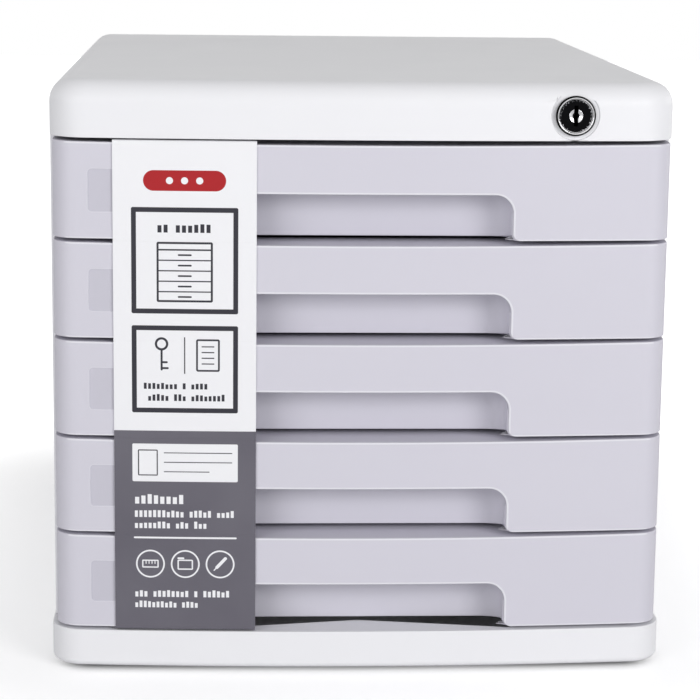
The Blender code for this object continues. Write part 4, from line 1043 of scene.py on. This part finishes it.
# %% Eased copies of the inner works
def eased_copy(node, name, width_mm, finish, slot, body):
    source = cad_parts[node]
    only(None)
    source.hide_set(False)
    only(source)
    bpy.ops.object.duplicate(linked=False)
    piece = bpy.context.object
    piece.name = name
    piece.parent = None
    for key in list(piece.keys()):
        del piece[key]
    edit(piece)
    bpy.ops.mesh.select_all(action="SELECT")
    bpy.ops.mesh.remove_doubles(threshold=0.000005)
    bpy.ops.mesh.dissolve_limited(angle_limit=math.radians(0.5))
    only(piece)
    ease_edges(piece, width_mm * MM, 2, 50.0)
    dress(piece, finish, slot, body, node)
    return piece


INNER_WORKS = [
    ("side_panel_left", "panel_left", 0.3, WHITE, "white_plastic", "cabinet"),
    ("side_panel_right", "panel_right", 0.3, WHITE, "white_plastic", "cabinet"),
    ("back_panel", "rear_panel", 0.3, WHITE, "white_plastic", "cabinet"),
    ("lock_nut", "hex_nut", 0.3, CHROME, "chrome", "cabinet"),
    ("lock_cam", "crank_cam", 0.2, STEEL, "steel", "key_plug"),
    ("lock_bar", "locking_bar", 0.25, STEEL, "steel", "lock_bar"),
    ("lock_bar_pin_1", "guide_pin_1", 0.2, STEEL, "steel", "cabinet"),
    ("lock_bar_pin_2", "guide_pin_2", 0.2, STEEL, "steel", "cabinet"),
]
INNER_WORKS += [(f"foot_{n}", f"rubber_foot_{n}", 0.4, RUBBER, "rubber", "cabinet") for n in range(1, 5)]
inner = [eased_copy(*row) for row in INNER_WORKS]
print("inner works", [piece.name for piece in inner])

# %% [markdown]
# Screws hold the case and the fronts together. One pan-head screw is turned from a profile, its cross
# recess is cut, and copies of it stand wherever the CAD model has one, head on head.

# %% Screws
HEAD_RADIUS, HEAD_HEIGHT, SHANK_RADIUS, SHANK_LENGTH = 3.2 * MM, 1.8 * MM, 1.5 * MM, 12.0 * MM

pen = Pen("pan_screw", (0.0, 0.0, -HEAD_HEIGHT), FRONTAL)
pen.line(x=2.0 * MM)
pen.arc((2.0 * MM, 0.0, -HEAD_HEIGHT + 1.2 * MM), 90, 5)
pen.line(z=0.6 * MM)
pen.line(x=SHANK_RADIUS - HEAD_RADIUS)
for turn in range(11):
    pen.line(x=-0.35 * MM, z=0.45 * MM)
    pen.line(x=0.35 * MM, z=0.45 * MM)
pen.line(x=-0.9 * MM, z=SHANK_LENGTH - 9.9 * MM)
pen.line(x=0.9 * MM - SHANK_RADIUS)
pan_screw = pen.turned((0.0, 0.0, 0.0), (0.0, 0.0, 1.0), 24)
for half_x, half_y in ((1.6 * MM, 0.35 * MM), (0.35 * MM, 1.6 * MM)):
    cut = block("cross", (-half_x, -half_y, -HEAD_HEIGHT - MM), (half_x, half_y, -HEAD_HEIGHT + 1.1 * MM))
    pick("FACE", lambda place, normal: normal.z > 0.9)
    bpy.ops.transform.resize(value=(0.5, 0.5, 1.0), center_override=(0.0, 0.0, 0.0))
    combine(pan_screw, "DIFFERENCE", cut)
shade(pan_screw, 30.0)
wear(pan_screw, STEEL, "steel")


def place_screw(node, name, body):
    """A copy of the screw, turned to the node's axis and put on the node's place."""
    low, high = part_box(node)
    middle = (low + high) / 2
    size = high - low
    twin = copy_of(pan_screw, name)
    if size.y > size.z:
        lean, seat = Matrix.Rotation(math.pi / 2, 4, "X"), (middle.x, high.y - HEAD_HEIGHT, middle.z)
    else:
        lean, seat = Matrix.Identity(4), (middle.x, middle.y, low.z + HEAD_HEIGHT)
    twin.data.transform(Matrix.Translation(seat) @ lean)
    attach(twin, body)
    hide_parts(node)
    return twin


screws = [place_screw(f"{kind}_screw_{n}", f"{kind}_pan_screw_{n}", "cabinet")
          for kind in ("cover", "base") for n in range(1, 5)]
screws += [place_screw(f"drawer_{n}_screw_{side}", f"front_screw_{n}_{side}", f"drawer_{n}")
           for n in range(1, 6) for side in (1, 2)]
bpy.data.objects.remove(pan_screw)
print("screws", len(screws))

# %% [markdown]
# The photograph was taken with a long lens, a little above the cabinet and a little to its left. The
# camera's place and lens come from fitting the cabinet's known size to its outline. Its matrix is built
# from three directions: right, up and backwards.

# %% Camera
FOCAL_PIXELS, FRAME_PIXELS, SENSOR_MM = 2336.2, 700.0, 36.0
YAW, PITCH_DOWN, ROLL = (math.radians(a) for a in (3.008, 10.793, 0.667))

forward = Vector((math.sin(YAW) * math.cos(PITCH_DOWN), math.cos(YAW) * math.cos(PITCH_DOWN),
                  -math.sin(PITCH_DOWN)))
level = Vector((math.cos(YAW), -math.sin(YAW), 0.0))
above = level.cross(forward)
right = level * math.cos(ROLL) + above * math.sin(ROLL)
upward = above * math.cos(ROLL) - level * math.sin(ROLL)
lens = bpy.data.cameras.new("photo_camera")
lens.sensor_width = SENSOR_MM
lens.lens = FOCAL_PIXELS * SENSOR_MM / FRAME_PIXELS
lens.clip_start, lens.clip_end = 0.01, 50.0
camera = bpy.data.objects.new("photo_camera", lens)
bpy.context.scene.collection.objects.link(camera)
turn = Matrix((right, upward, -forward)).transposed().to_4x4()
camera.matrix_world = Matrix.Translation((-57.3 * MM, -1166.4 * MM, 333.5 * MM)) @ turn
bpy.context.scene.camera = camera
print("lens", round(lens.lens, 2), "mm")

# %% [markdown]
# The studio has a large soft light on each side of the camera, the right one a little stronger, and a
# white surround. The lamps stand far in front, which leaves the cover's top darker than its front. The
# surround is white only to the camera and to reflections, so that the object isn't washed out. The floor
# glows to the camera too, less and less towards the cabinet, which leaves a soft shadow round its foot.

# %% Floor
only(None)
bpy.ops.mesh.primitive_plane_add(size=8.0, location=(0.0, 0.0, 0.0))
floor = bpy.context.object
floor.name = "studio_floor"
floor_finish = Finish("studio_floor", 0.9, specular=0.2)
sweep = floor_finish.noise(3.0, 2.0)
floor_tint = floor_finish.mixed(sweep * 0.2, shade_of(240, 240, 241), shade_of(232, 232, 234))
floor_finish.shader.inputs["Emission Strength"].default_value = 1.0
seen = floor_finish.node("ShaderNodeLightPath", {}, {}, "Is Camera Ray")
x, y, _ = floor_finish.axes()
beside, beyond = (x.size() - 118.0).most(0.0), (y.size() - 163.0).most(0.0)
away = (beside * beside + beyond * beyond).math("SQRT")
# Painted shade: the glow fades towards the cabinet and is nil under it, darkening the floor round its foot on
# top of the real shadow.
level_of_glow = (1.0 - away.below(125.0, 110.0) * 0.62) * (1.0 - away.below(9.0, 8.0))
glow = floor_finish.mixed(seen * level_of_glow, (0.0, 0.0, 0.0), (1.0, 1.0, 1.0))
floor.data.materials.append(floor_finish.wire(Base_Color=floor_tint, Emission_Color=glow))

# %% Surround and lamps
AMBIENT = 0.36
world = bpy.data.worlds.new("studio_surround")
bpy.context.scene.world = world
world.use_nodes = True
nodes = world.node_tree.nodes
paths, backdrop = nodes.new("ShaderNodeLightPath"), nodes["Background"]
direct, seen_through = nodes.new("ShaderNodeMath"), nodes.new("ShaderNodeMath")
direct.operation = seen_through.operation = "MAXIMUM"
level_mix = nodes.new("ShaderNodeMapRange")
level_mix.inputs["To Min"].default_value = AMBIENT
backdrop.inputs["Color"].default_value = (1.0, 1.0, 1.0, 1.0)
for source, target in ((paths.outputs["Is Camera Ray"], direct.inputs[0]),
                       (paths.outputs["Is Glossy Ray"], direct.inputs[1]),
                       (direct.outputs[0], seen_through.inputs[0]),
                       (paths.outputs["Is Transmission Ray"], seen_through.inputs[1]),
                       (seen_through.outputs[0], level_mix.inputs["Value"]),
                       (level_mix.outputs["Result"], backdrop.inputs["Strength"])):
    world.node_tree.links.new(source, target)


def softbox(name, place, aim, width, height, power):
    """An area light that looks at a point."""
    lamp = bpy.data.lights.new(name, "AREA")
    lamp.shape, lamp.size, lamp.size_y, lamp.energy = "RECTANGLE", width, height, power
    box = bpy.data.objects.new(name, lamp)
    bpy.context.scene.collection.objects.link(box)
    look = (Vector(aim) - Vector(place)).to_track_quat("-Z", "Y")
    box.matrix_world = Matrix.Translation(place) @ look.to_matrix().to_4x4()
    return box


AIM = (0.0, -0.1, 0.13)
softbox("key_softbox", (1.15, -1.7, 0.75), AIM, 1.0, 0.8, 17.2)
softbox("fill_softbox", (-1.25, -1.65, 0.65), AIM, 1.2, 1.0, 11.3)
softbox("rear_softbox", (2.0, 1.2, 0.5), AIM, 1.2, 0.8, 5.0)
bpy.context.scene.view_settings.view_transform = "Standard"
